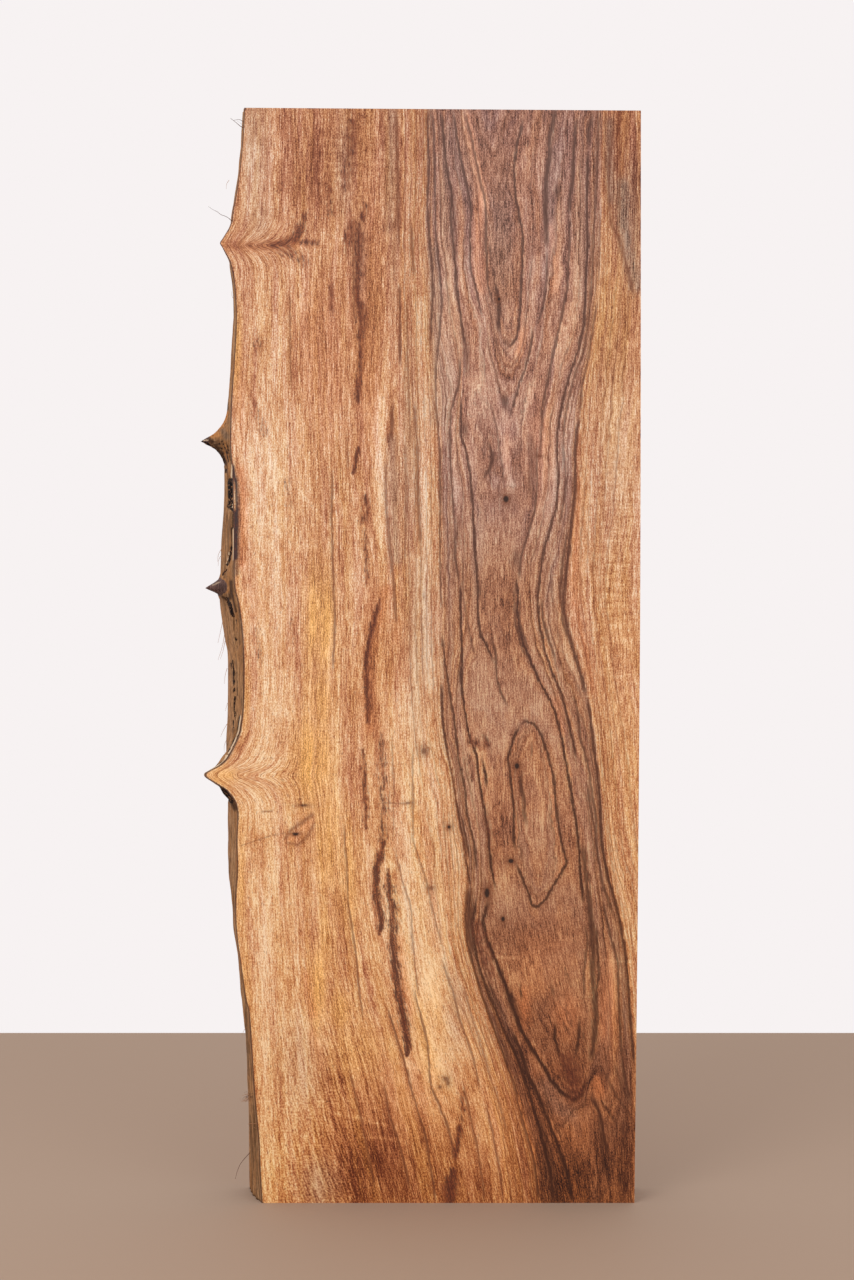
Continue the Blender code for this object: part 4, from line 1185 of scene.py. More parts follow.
def rings_round(x, z, half_x, half_z, rings):
    """Oval rings of vertices round a knot. RINGS has each one's size, as a share of the knot's, and count."""
    around = []
    for part, count in rings:
        angles = math.tau * np.arange(count) / count
        across, up = part * half_x * np.cos(angles), part * half_z * np.sin(angles)
        around.append(np.column_stack([x + across, z + up]))
    return around


def front_face_points():
    """Vertices inside the front face, closer together where the grain turns and around small marks."""
    fine = []
    for low, high in FINE_REGIONS:
        (x0, z1), (x1, z0) = on_face(*low), on_face(*high)
        fine.append(staggered(x0, x1, z0, z1, FINE_STEP))
    for column, row, half_width, half_height, _ in KNOTS:
        fine += rings_round(*on_face(column, row), half_width, half_height, KNOT_RINGS)
    thin = [(half, line) for kind, _, half, line in STROKES if half < (6 if kind == "streak" else 2.1)]
    for half, line in thin + [(half, line) for _, half, line in HAIR_LINES]:
        for (x0, y0), (x1, y1) in zip(line, line[1:]):
            length = math.hypot(x1 - x0, y1 - y0)
            side = np.array([y1 - y0, x0 - x1]) / length
            for part in np.arange(0, 1, STROKE_STEP / length):
                for off in STROKE_ROWS:
                    spot = np.array([x0 + part * (x1 - x0), y0 + part * (y1 - y0)]) + side * off * half
                    fine.append(np.array([on_face(*spot)]))
    points = thin_out(np.concatenate(fine), 0.7)
    heights = even_steps(2.0, HEIGHT_AT_LIVE_EDGE - 3.0, 2.2)
    near_arris = np.concatenate([np.column_stack([front_outline(heights) + away, heights + lift])
                                 for away, lift in ((1.3, 0.0), (3.0, 1.1))])
    coarse = staggered(-215, 210, 1.6, HEIGHT_AT_LIVE_EDGE, FACE_STEP)
    coarse = clear_of(coarse, np.concatenate([points, near_arris]), 0.62 * FACE_STEP)
    near_arris = clear_of(near_arris, points, 0.9)
    points = np.concatenate([points, near_arris, coarse])
    return points[well_inside(points, front_outline(points[:, 1]), 0.9, 1.2, 1.2)]


def back_face_points():
    """Vertices inside the back face, closer together around its knots."""
    points = staggered(-195, 210, 1.6, HEIGHT_AT_LIVE_EDGE, BACK_STEP)
    knots = np.concatenate([ring for *knot, _ in BACK_KNOTS for ring in rings_round(*knot, BACK_KNOT_RINGS)])
    points = np.concatenate([clear_of(points, knots, 3.0), knots])
    return points[well_inside(points, curve_through(BACK_ARRIS, points[:, 1]), 2.4, 3.0, 2.4)]


def well_inside(points, arris, from_arris, from_sawn, from_foot):
    """Which POINTS lie at least so many mm from the arris, from the sawn edge and top, and from the foot."""
    x, z = points[:, 0], points[:, 1]
    across = (x > arris + from_arris) & (x < curve_through(SAWN_EDGE, z) - from_sawn)
    return across & (z > from_foot) & (z < top_height(x) - from_sawn)


def board_surface():
    """The whole board as one closed shell. Returns it with each live edge vertex's height and depth."""
    shell = Shell()
    heights = even_steps(0.0, HEIGHT_AT_LIVE_EDGE, EDGE_STEP)
    depths = even_steps(0.0, THICKNESS, EDGE_STEP)
    border = [(height, 0.0) for height in heights]
    border += [(HEIGHT_AT_LIVE_EDGE, depth) for depth in depths[1:-1]]
    border += [(height, THICKNESS) for height in heights[::-1]]
    border += [(0.0, depth) for depth in depths[-2:0:-1]]
    spots = [spot for spur in SPURS for spot in spur.rings() if 0.8 < spot[1] < THICKNESS - 0.8]
    spots = thin_out(np.array(spots), 0.42)
    grid = []
    for number, depth in enumerate(depths[1:-1]):
        shift = EDGE_STEP / 2 * (number % 2)
        grid += [(height + shift, depth) for height in heights[1:-2]]
    grid = clear_of(np.array(grid), spots, 1.15)
    plan = np.concatenate([np.array(border), spots, grid])
    places = live_edge(plan[:, 0], plan[:, 1])
    fade = ease((plan[:, 1] - 1.0) / 5.0) * ease((THICKNESS - plan[:, 1]) / 4.0)
    strands = rough(np.column_stack([plan[:, 0] / STRAND_LENGTH, plan[:, 1] / STRAND_WIDTH]), STRAND_SEED)
    places[:, 0] -= STRAND_HEIGHT * fade * strands
    at_top = plan[:, 0] == HEIGHT_AT_LIVE_EDGE
    places[at_top, 2] = top_height(places[at_top, 0])
    corners = shell.add(places)
    count = len(border)
    shell.fill(corners[:count], corners[count:], plan, LIVE)

    left_count, depth_count = len(heights), len(depths)
    front_left = corners[:left_count]
    top_left = corners[left_count - 1 : left_count + depth_count - 1]
    back_left = corners[left_count + depth_count - 2 : 2 * left_count + depth_count - 2][::-1]
    foot_left = [back_left[0], *corners[2 * left_count + depth_count - 2 : count], front_left[0]][::-1]

    def sawn_side(y):
        steps = even_steps(0.0, HEIGHT_AT_SAWN_EDGE, SIDE_STEP)
        side = np.column_stack([curve_through(SAWN_EDGE, steps), np.full(len(steps), y), steps])
        side[-1, 2] = top_height(side[-1, 0])
        return shell.add(side)

    right_front, right_back = sawn_side(-THICKNESS / 2), sawn_side(THICKNESS / 2)

    def across(start, stop):
        """New vertices between two corners of a sawn end."""
        one, two = np.array(shell.points[start]), np.array(shell.points[stop])
        parts = even_steps(0.0, 1.0, END_STEP / np.linalg.norm(two - one))[1:-1]
        return shell.add(one + parts[:, None] * (two - one))

    def flat(indices, first, second):
        return [(shell.points[index][first], shell.points[index][second]) for index in indices]

    ends = {}
    for name, left, right, turned in (("top", top_left, (right_front[-1], right_back[-1]), False),
                                      ("foot", foot_left, (right_front[0], right_back[0]), True)):
        near, far, sawn = across(left[0], right[0]), across(left[-1], right[1]), across(*right)
        ends[name] = near, far, sawn
        loop = left + far + [right[1]] + sawn[::-1] + [right[0]] + near[::-1]
        ring = np.array(flat(loop, 0, 1))
        grid = staggered(-190, 206, -THICKNESS / 2 + 1.5, THICKNESS / 2 - 1, END_STEP)
        edge = np.interp(grid[:, 1], *zip(*flat(left, 1, 0)))
        grid = grid[(grid[:, 0] > edge + 1.4) & (grid[:, 0] < ring[:, 0].max() - 1.6)]
        height = top_height(grid[:, 0]) if name == "top" else np.zeros(len(grid))
        middle = shell.add(np.column_stack([grid, height]))
        shell.fill(loop, middle, flat(loop + middle, 0, 1), END, turned)

    loop = right_front + ends["top"][2] + right_back[::-1] + ends["foot"][2][::-1]
    grid = staggered(-THICKNESS / 2 + 3, THICKNESS / 2 - 2, 3.0, HEIGHT_AT_SAWN_EDGE - 3.0, SIDE_STEP)
    middle = shell.add(np.column_stack([curve_through(SAWN_EDGE, grid[:, 1]), grid]))
    shell.fill(loop, middle, flat(loop + middle, 1, 2), SAWN_SIDE)

    for side, left, right, points in ((0, front_left, right_front, front_face_points()),
                                      (1, back_left, right_back, back_face_points())):
        loop = left + ends["top"][side] + right[::-1] + ends["foot"][side][::-1]
        y = shell.points[left[0]][1]
        middle = shell.add(np.column_stack([points[:, 0], np.full(len(points), y), points[:, 1]]))
        shell.fill(loop, middle, flat(loop + middle, 0, 2), FACE, side == 1)
    return shell, plan


def marks_in_view(plan, column, row, shows):
    """The strokes of colour on the live edge that the camera sees, at each of its vertices."""
    drawn = {kind: np.zeros(len(plan)) for kind in ("black", "brown_and_shade", "ochre", "pale", "ash")}
    for kind, strength, half, line in LIVE_STROKES:
        near = near_line(column, row, line) / half
        drawn[kind] = np.maximum(drawn[kind], shows * strength * np.exp(-(near**4)))
    return drawn


def edge_marks(plan, points, view):
    """Colour masks of the live edge at each of its vertices, given as height and depth."""
    column, row = seen_place(points)
    shows = view.shows(column, row, plan[:, 1])
    hidden = 1 - shows
    drawn = marks_in_view(plan, column, row, shows)
    height, depth = plan[:, 0], plan[:, 1]

    def between(low, fading_in, high, fading_out):
        """1 between two heights, fading to 0 beyond them."""
        return ease((height - low) / fading_in) * ease((high - height) / fading_out)

    # A pale ribbon with a black line on either side runs down to the lower cut spur
    outside = view.arris(row) - column
    ribbon = shows * ease((row - 712) / 6) * ease((775 - row) / 5)
    for kind, shape in (
        ("pale", hump((outside - 1.7) / 0.8)), ("brown_and_shade", ease((0.9 - outside) / 0.5)),
        ("black", 0.9 * ease((0.8 - outside) / 0.5)), ("black", 0.8 * hump((outside - 3.2) / 0.7)),
    ):
        drawn[kind] = np.maximum(drawn[kind], ribbon * shape)

    # Bark is left in the pocket and in the seam, and the edge is black under the lower cut spur
    crust = ease(1.9 * (1.05 - from_pocket(height, depth)))
    crust = np.maximum(crust, 0.9 * hump((height - 646) / 9, (depth - 7) / 4))
    seam = seam_strength(height, depth, 1.5)
    bark = hump((height - 380) / 13.0, (depth - 7) / 7.0)
    black = np.maximum.reduce([crust * hidden, 0.7 * seam * hidden, 0.75 * bark * hidden, drawn["black"]])

    # The arris is dark, more so in some stretches
    dark_arris = hump(depth / 1.6) * np.maximum.reduce([
        between(700, 30, 900, 60), 0.8 * between(180, 20, 300, 40), 0.9 * between(395, 10, 470, 30),
        0.95 * between(690, 10, 790, 20), 0.6 * np.ones(len(height))])

    # The long thorn has a dark tip, an ochre upper side with a painted highlight, and painted shade
    # underneath
    thorn, cone = SPURS[:2]
    thorn_rise = thorn.rise(height, depth)
    tip = ease((thorn_rise - 13.5) / 4.0)
    over = ease((height - thorn.height + 2) / 8.0)
    ochre = ease(thorn_rise / 5.0) * over * (1 - tip)
    under = ease(thorn_rise / 4.0) * (1 - over) * (1 - tip)

    # The short thorn is a smooth violet cone in a ring of ochre, and its skin ends at CONE_FOOT
    skin = np.interp(row, *zip(*CONE_FOOT))
    seen_cone = shows * ease((skin - column) / 1.4 + 0.5)
    cone_skin = np.maximum(ease((cone.rise(height, depth) - 1.9) / 1.2) * hidden, seen_cone)
    cone_skin *= np.abs(row - 587) < 10
    ring = hump((column - skin - 1.6) / 1.2) * shows * (np.abs(row - 585) < 9)

    # Painted shade below the short thorn
    shade = hump((height - 561) / 9.0, (depth - 26) / 10.0)
    foot = hump(height / 1.7)
    brown_and_shade = np.maximum.reduce([0.55 * under, 0.6 * shade, 0.8 * dark_arris, drawn["brown_and_shade"], foot])
    lobe = ease((depth - curve_through(SEAM, np.clip(height, SEAM[0][0], SEAM[-1][0])) - 1) / 4.0)
    return {
        "black": black,
        "brown_and_shade": brown_and_shade,
        "ochre": np.maximum(0.8 * np.maximum(ochre, ring) * (1 - drawn["brown_and_shade"]), drawn["ochre"]),
        "violet": np.maximum(tip, cone_skin),
        "splits_and_highlights": drawn["pale"],
        "weathered": drawn["ash"],
        "back_lobe": lobe * between(410, 20, 575, 20),
    }


def add(tree, kind, feeds=(), out=0, stops=(), **settings):
    """Adds a node and returns its output OUT. FEEDS has values or sources of inputs, named or in order."""
    node = tree.nodes.new("ShaderNode" + kind)
    for name, value in settings.items():
        setattr(node, name, value)
    for place, colour in stops:
        elements = node.color_ramp.elements
        first, last = place == stops[0][0], place == stops[-1][0]
        element = elements[0] if first else elements[-1] if last else elements.new(place)
        element.position = place
        element.color = linear(colour)
    for name, value in feeds.items() if isinstance(feeds, dict) else enumerate(feeds):
        if isinstance(value, bpy.types.NodeSocket):
            tree.links.new(value, node.inputs[name])
        else:
            node.inputs[name].default_value = linear(value) if isinstance(value, str) else value
    return node.outputs[out] if node.outputs else None


def new_material(name):
    material = bpy.data.materials.new(name)
    material.use_nodes = True
    material.node_tree.nodes.clear()
    return material, material.node_tree


def waves_of_walnut(tree, end_grain):
    """What planed walnut is drawn with: the board's own marks, and waves along its grain and rings."""
    wood = {key: add(tree, "Attribute", attribute_name=key, out="Fac") for key in (
        "ring", "slope", "streak", "mark", "tone", "gold", "ruddy", "ash", "curl", "bruise", "rim")}
    grain = add(tree, "Attribute", attribute_name="grain", out="Vector")
    depth, height = (add(tree, "SeparateXYZ", [grain], out=part) for part in (1, 2))
    wood["grain"] = grain
    wood["up_board"] = add(tree, "Math", [height, HEIGHT_AT_LIVE_EDGE], operation="DIVIDE")

    # The ring lines waver a little from the smooth field
    slow = add(tree, "VectorMath", [grain, (1 / 9, 1 / 9, 1 / 26)], operation="MULTIPLY")
    waver = add(tree, "TexNoise", {"Vector": slow, "Scale": 1.0, "Detail": 3.0, "Roughness": 0.6})
    waver = add(tree, "Math", [waver, 0.5], operation="SUBTRACT")
    wood["ring"] = add(tree, "Math", [waver, 7.0, wood["ring"]], operation="MULTIPLY_ADD")
    in_rings = add(tree, "CombineXYZ", [wood["ring"], depth, height])

    # Each wave: its space, its size across, through and up the board in mm, its detail and its roughness
    for key, space, size, detail, roughness in (
        # Growth bands 14 mm and less across, drawn out along the rings
        ("bands", in_rings, (11, 60, 260), 5.0, 0.68),
        ("lines", in_rings, (1.8, 60, 90), 2.0, 0.6),
        ("hues", in_rings, (7.5, 50, 150), 3.0, 0.6),
        # Soft clouds, strands about 2 mm across, and fibres drawn about 1 mm wide so that they show
        ("clouds", grain, (22, 22, 60), 4.0, 0.6),
        ("strands", grain, (1.7, 1.7, 2.2 if end_grain else 26), 3.0, 0.6),
        ("fibres", grain, (0.9, 0.9, 1.4 if end_grain else 11), 2.0, 0.65),
        # Flecks where the fibres were cut at an angle, and curl, which is soft ripples across the grain
        ("flecks", grain, (0.8, 0.8, 1.7), 1.0, 0.5),
        ("ripples", grain, (20, 20, 4.6), 2.0, 0.6),
        # What makes the veins ragged
        ("jitter", grain, (2.6, 2.6, 9), 3.0, 0.65),
        # Open pores: 0.3 mm wide in walnut, drawn about 1 mm wide so that they show
        ("pores", grain, (1.1, 1.1, 1.3 if end_grain else 5), 1.0, 0.5),
    ):
        scaled = add(tree, "VectorMath", [space, tuple(1 / length for length in size)], operation="MULTIPLY")
        feeds = {"Vector": scaled, "Scale": 1.0, "Detail": detail, "Roughness": roughness}
        wood[key] = add(tree, "TexNoise", feeds)
    wood["flecks"] = add(tree, "MapRange", [wood["flecks"], 0.40, 0.60])
    wood["warm_band"] = add(tree, "MapRange", [wood["hues"], 0.34, 0.66])
    wood["open_pores"] = add(tree, "MapRange", [wood["pores"], 0.60, 0.72])
    for key in ("ripples", "jitter"):
        wood[key] = add(tree, "Math", [wood[key], 0.5], operation="SUBTRACT")
    wood["curl"] = add(tree, "Math", [wood["ripples"], wood["curl"]], operation="MULTIPLY")
    ragged = add(tree, "Math", [wood["fibres"], 0.5], operation="SUBTRACT")
    ragged = add(tree, "Math", [ragged, 2.2], operation="MULTIPLY")
    wood["ragged"] = add(tree, "Math", [wood["jitter"], 3.4, ragged], operation="MULTIPLY_ADD")

    # 1 in the heartwood, 0 in the sapwood. The ramp's places are a hundredth of the ring's distance.
    ring_part = add(tree, "Math", [wood["ring"], 0.01], operation="MULTIPLY")
    wood["in_heart"] = add(tree, "ValToRGB", [ring_part], stops=[
        (0.00, 1.0), (0.34, 1.0), (0.56, 0.85), (0.63, 0.75), (0.66, 0.0), (1.00, 0.0)])
    return wood


def two_woods(tree, wood):
    """Pale sapwood and dark heartwood, each changing palette from band to band, warmer at the foot."""
    # Light and dark together: 0 is the darkest wood, 1 the palest
    # Up the board the ramp paints shade: darker towards the foot and the top, where the light falls off
    light = add(tree, "ValToRGB", [wood["up_board"]], stops=[
        (0.00, 0.39), (0.04, 0.45), (0.10, 0.54), (0.20, 0.60), (0.45, 0.60), (0.66, 0.59), (0.76, 0.52),
        (0.88, 0.48), (1.00, 0.43)])
    band_amount = add(tree, "MapRange", [wood["ring"], 75.0, 130.0, 0.9, 0.68])
    line_amount = add(tree, "MapRange", [wood["ring"], 60.0, 68.0, 1.0, 0.85])
    for wave, amount in (("bands", band_amount), ("lines", line_amount), ("clouds", 0.4), ("strands", 0.85),
                         ("fibres", 1.2), ("flecks", 0.31)):
        centred = add(tree, "Math", [wood[wave], 0.5], operation="SUBTRACT")
        light = add(tree, "Math", [centred, amount, light], operation="MULTIPLY_ADD")
    for mask, amount in (("curl", 0.6), ("tone", 0.28)):
        light = add(tree, "Math", [wood[mask], amount, light], operation="MULTIPLY_ADD")

    woods = []
    for palettes in (SAPWOOD_PALETTES, HEARTWOOD_PALETTES):
        stops = [[(place / 5, code) for place, code in enumerate(codes)] for codes in palettes]
        cool, warm = (add(tree, "ValToRGB", [light], stops=some) for some in stops)
        woods.append(add(tree, "Mix", {0: wood["warm_band"], 6: cool, 7: warm}, out=2, data_type="RGBA"))
    sap_warmth = add(tree, "ValToRGB", [wood["up_board"]], stops=[
        (0.00, (1.00, 0.89, 0.62)), (0.16, (1.00, 0.92, 0.76)), (0.36, (1.00, 0.95, 0.84)),
        (0.62, (0.98, 0.99, 0.99)), (1.00, (0.94, 0.97, 1.04))])
    heart_warmth = add(tree, "ValToRGB", [wood["up_board"]], stops=[
        (0.00, (1.13, 0.89, 0.46)), (0.12, (0.72, 0.57, 0.39)), (0.22, (0.82, 0.72, 0.53)),
        (0.36, (0.84, 0.74, 0.60)), (0.50, (0.85, 0.80, 0.69)), (0.59, (0.84, 0.83, 0.79)),
        (0.68, (0.95, 0.98, 1.02)), (1.00, (0.95, 1.00, 1.08))])
    colour, warmth = (add(tree, "Mix", {0: wood["in_heart"], 6: sap, 7: heart}, out=2, data_type="RGBA")
                      for sap, heart in (woods, (sap_warmth, heart_warmth)))
    colour = add(tree, "Mix", {0: 1.0, 6: colour, 7: warmth}, out=2, data_type="RGBA", blend_type="MULTIPLY")

    # Patches of gold, rust and ash grey, broken up along the bands
    for mask, tint, most in (("gold", "#dba24c", 0.8), ("ruddy", "#bf6a38", 0.7), ("ash", "#9c8575", 0.75)):
        broken = add(tree, "MapRange", [wood["bands"], 0.3, 0.62, 0.3, most])
        amount = add(tree, "Math", [wood[mask], broken], operation="MULTIPLY", use_clamp=True)
        tinted = add(tree, "VectorMath", {0: linear(tint)[:3], "Scale": light}, operation="SCALE")
        tinted = add(tree, "VectorMath", {0: tinted, "Scale": 1.9}, operation="SCALE")
        colour = add(tree, "Mix", {0: amount, 6: colour, 7: tinted}, out=2, data_type="RGBA")
    return colour


def dark_veins(tree, wood, colour):
    """Faint dark lines at certain rings, and the dark veins: ragged, shaded inside and paler just outside."""
    # The lines at the rings are sharp on their outer side
    vein = 0.0
    for level, strength in VEIN_RINGS:
        past = add(tree, "Math", [wood["ring"], level], operation="SUBTRACT")
        past = add(tree, "Math", [past, wood["slope"]], operation="DIVIDE")
        past = add(tree, "Math", [past, 0.05, 0.5], operation="MULTIPLY_ADD")
        line = add(tree, "ValToRGB", [past], stops=[
            (0.20, 0.0), (0.42, 0.14 * strength), (0.465, 0.35 * strength), (0.495, strength),
            (0.52, 0.95 * strength), (0.56, 0.0), (1.0, 0.0)])
        vein = add(tree, "Math", [vein, line], operation="MAXIMUM")
    patchy = add(tree, "MapRange", [wood["clouds"], 0.38, 0.6, 0.45, 1.3])
    vein = add(tree, "Math", [vein, patchy], operation="MULTIPLY", use_clamp=True)

    width_of = add(tree, "MapRange", [wood["strands"], 0.36, 0.64, 0.45, 1.9])
    beside = {"shade": 0.0, "gleam": 0.0}
    for layer in range(VEIN_LAYERS):
        place = add(tree, "Attribute", attribute_name=f"vein_{layer}", out="Vector")
        distance, strength, half = (add(tree, "SeparateXYZ", [place], out=part) for part in range(3))
        distance = add(tree, "Math", [distance, wood["ragged"]], operation="ADD")
        half = add(tree, "Math", [half, width_of], operation="MULTIPLY")
        away = add(tree, "Math", [distance], operation="ABSOLUTE")
        away = add(tree, "Math", [away, half], operation="DIVIDE")
        line = add(tree, "MapRange", [away, 1.9, 0.7])
        line = add(tree, "Math", [line, strength], operation="MULTIPLY")
        vein = add(tree, "Math", [vein, line], operation="MAXIMUM")
        # In mm from the vein: where the shade and the gleam grow, and where they fade
        for side, growing, fading in (("shade", (-4.5, 0.0), (1.2, 0.0)), ("gleam", (0.9, 1.6), (4.2, 1.8))):
            grown = add(tree, "MapRange", [distance, *growing])
            faded = add(tree, "MapRange", [distance, *fading])
            soft = add(tree, "Math", [grown, faded], operation="MULTIPLY")
            soft = add(tree, "Math", [soft, strength], operation="MULTIPLY")
            beside[side] = add(tree, "Math", [beside[side], soft], operation="MAXIMUM")

    shade_amount = add(tree, "MapRange", [wood["flecks"], 0.0, 1.0, 0.38, 0.16])
    shade = add(tree, "Math", [beside["shade"], shade_amount], operation="MULTIPLY")
    gleam = add(tree, "Math", [beside["gleam"], wood["warm_band"]], operation="MULTIPLY")
    gleam = add(tree, "Math", [gleam, 0.42], operation="MULTIPLY")
    uneven = add(tree, "MapRange", [wood["flecks"], 0.0, 1.0, 0.72, 1.15])
    vein = add(tree, "Math", [vein, uneven], operation="MULTIPLY", use_clamp=True)
    heart_vein = add(tree, "ValToRGB", [wood["up_board"]], stops=[
        (0.00, "#341608"), (0.30, "#40200f"), (0.60, "#4c2b20"), (1.00, "#523830")])
    dark = add(tree, "Mix", {0: wood["in_heart"], 6: "#6b3a22", 7: heart_vein}, out=2, data_type="RGBA")
    colour = add(tree, "Mix", {0: shade, 6: colour, 7: dark}, out=2, data_type="RGBA")
    lit = add(tree, "VectorMath", [colour, (1.5, 1.42, 1.36)], operation="MULTIPLY")
    colour = add(tree, "Mix", {0: gleam, 6: colour, 7: lit}, out=2, data_type="RGBA")
    return add(tree, "Mix", {0: vein, 6: colour, 7: dark}, out=2, data_type="RGBA")


def mineral_streaks(tree, wood, colour):
    """Dark streaks that minerals left in the sapwood. They break up into dark strands."""
    some_streak = add(tree, "Math", [wood["streak"], 8.0], operation="MULTIPLY", use_clamp=True)
    frayed = add(tree, "Math", [wood["ragged"], 0.6, wood["streak"]], operation="MULTIPLY_ADD")
    frayed = add(tree, "Math", [frayed, some_streak], operation="MULTIPLY")
    ground = add(tree, "MapRange", [frayed, 0.1, 0.9, 0.0, 0.75])
    torn = 0.0
    for wave, amount in (("strands", 0.8), ("flecks", 0.2), ("jitter", 0.5), ("streak", 0.16)):
        torn = add(tree, "Math", [wood[wave], amount, torn], operation="MULTIPLY_ADD")
    torn = add(tree, "MapRange", [torn, 0.50, 0.64, 0.0, 0.85])
    within = add(tree, "MapRange", [frayed, 0.2, 0.55])
    core = add(tree, "Math", [torn, within], operation="MULTIPLY")
    for amount, tint in ((ground, "#8e4a2b"), (core, "#471d13")):
        colour = add(tree, "Mix", {0: amount, 6: colour, 7: tint}, out=2, data_type="RGBA")
    return colour


def pores_and_knots(tree, wood, colour):
    """The bruise beside the bark pocket, the dark rim at the live edge, open pores, and knots with halos."""
    bruise = add(tree, "MapRange", [wood["bruise"], 0.08, 0.85, 0.0, 0.96])
    rim = add(tree, "MapRange", [wood["rim"], 0.2, 0.6, 0.0, 0.85])
    amount = add(tree, "MapRange", [wood["ring"], 60.0, 68.0, 0.35, 0.6])
    amount = add(tree, "Math", [wood["streak"], 1.5, amount], operation="MULTIPLY_ADD", use_clamp=True)
    pores = add(tree, "Math", [wood["open_pores"], amount], operation="MULTIPLY")
    pore_colour = add(tree, "Mix", {0: wood["in_heart"], 6: "#7e3f20", 7: "#4e2814"}, out=2, data_type="RGBA")
    halo = add(tree, "MapRange", [wood["mark"], 0.0, 0.5, 0.0, 0.75])
    core = add(tree, "MapRange", [wood["mark"], 0.55, 0.9, 0.0, 0.9])
    for amount, tint in ((bruise, "#26161f"), (rim, "#47251f"), (pores, pore_colour), (halo, "#6e3d25"),
                         (core, "#1e100b")):
        colour = add(tree, "Mix", {0: amount, 6: colour, 7: tint}, out=2, data_type="RGBA")
    return colour


def planed_walnut(name, end_grain=False, saw_marks=0.0, roughness=0.52):
    """Black walnut, cut along or across its grain and planed: satin, with open pores and raised fibres."""
    material, tree = new_material(name)
    wood = waves_of_walnut(tree, end_grain)
    colour = two_woods(tree, wood)
    for layer in (dark_veins, mineral_streaks, pores_and_knots):
        colour = layer(tree, wood, colour)
    if end_grain:
        darker = {0: 1.0, 6: colour, 7: "#c9b3a2"}
        colour = add(tree, "Mix", darker, out=2, data_type="RGBA", blend_type="MULTIPLY")
    if saw_marks:
        scaled = add(tree, "VectorMath", [wood["grain"], (1 / 40, 1 / 40, 1 / 2.4)], operation="MULTIPLY")
        kerfs = add(tree, "TexNoise", {"Vector": scaled, "Scale": 1.0, "Detail": 1.0})
        kerf_light = add(tree, "Math", [kerfs, saw_marks, 1 - saw_marks / 2], operation="MULTIPLY_ADD")
        colour = add(tree, "VectorMath", {0: colour, "Scale": kerf_light}, operation="SCALE")
    relief = add(tree, "Math", [wood["fibres"], wood["open_pores"]], operation="SUBTRACT")
    bump = add(tree, "Bump", {"Height": relief, "Strength": 0.4, "Distance": 0.00015})
    shine = add(tree, "MapRange", [wood["fibres"], 0.3, 0.7, roughness - 0.06, roughness + 0.08])
    shader = add(tree, "BsdfPrincipled", {"Base Color": colour, "Roughness": shine, "Normal": bump,
                                          "Specular IOR Level": 0.28, "IOR": 1.5})
    add(tree, "OutputMaterial", {"Surface": shader})
    return material


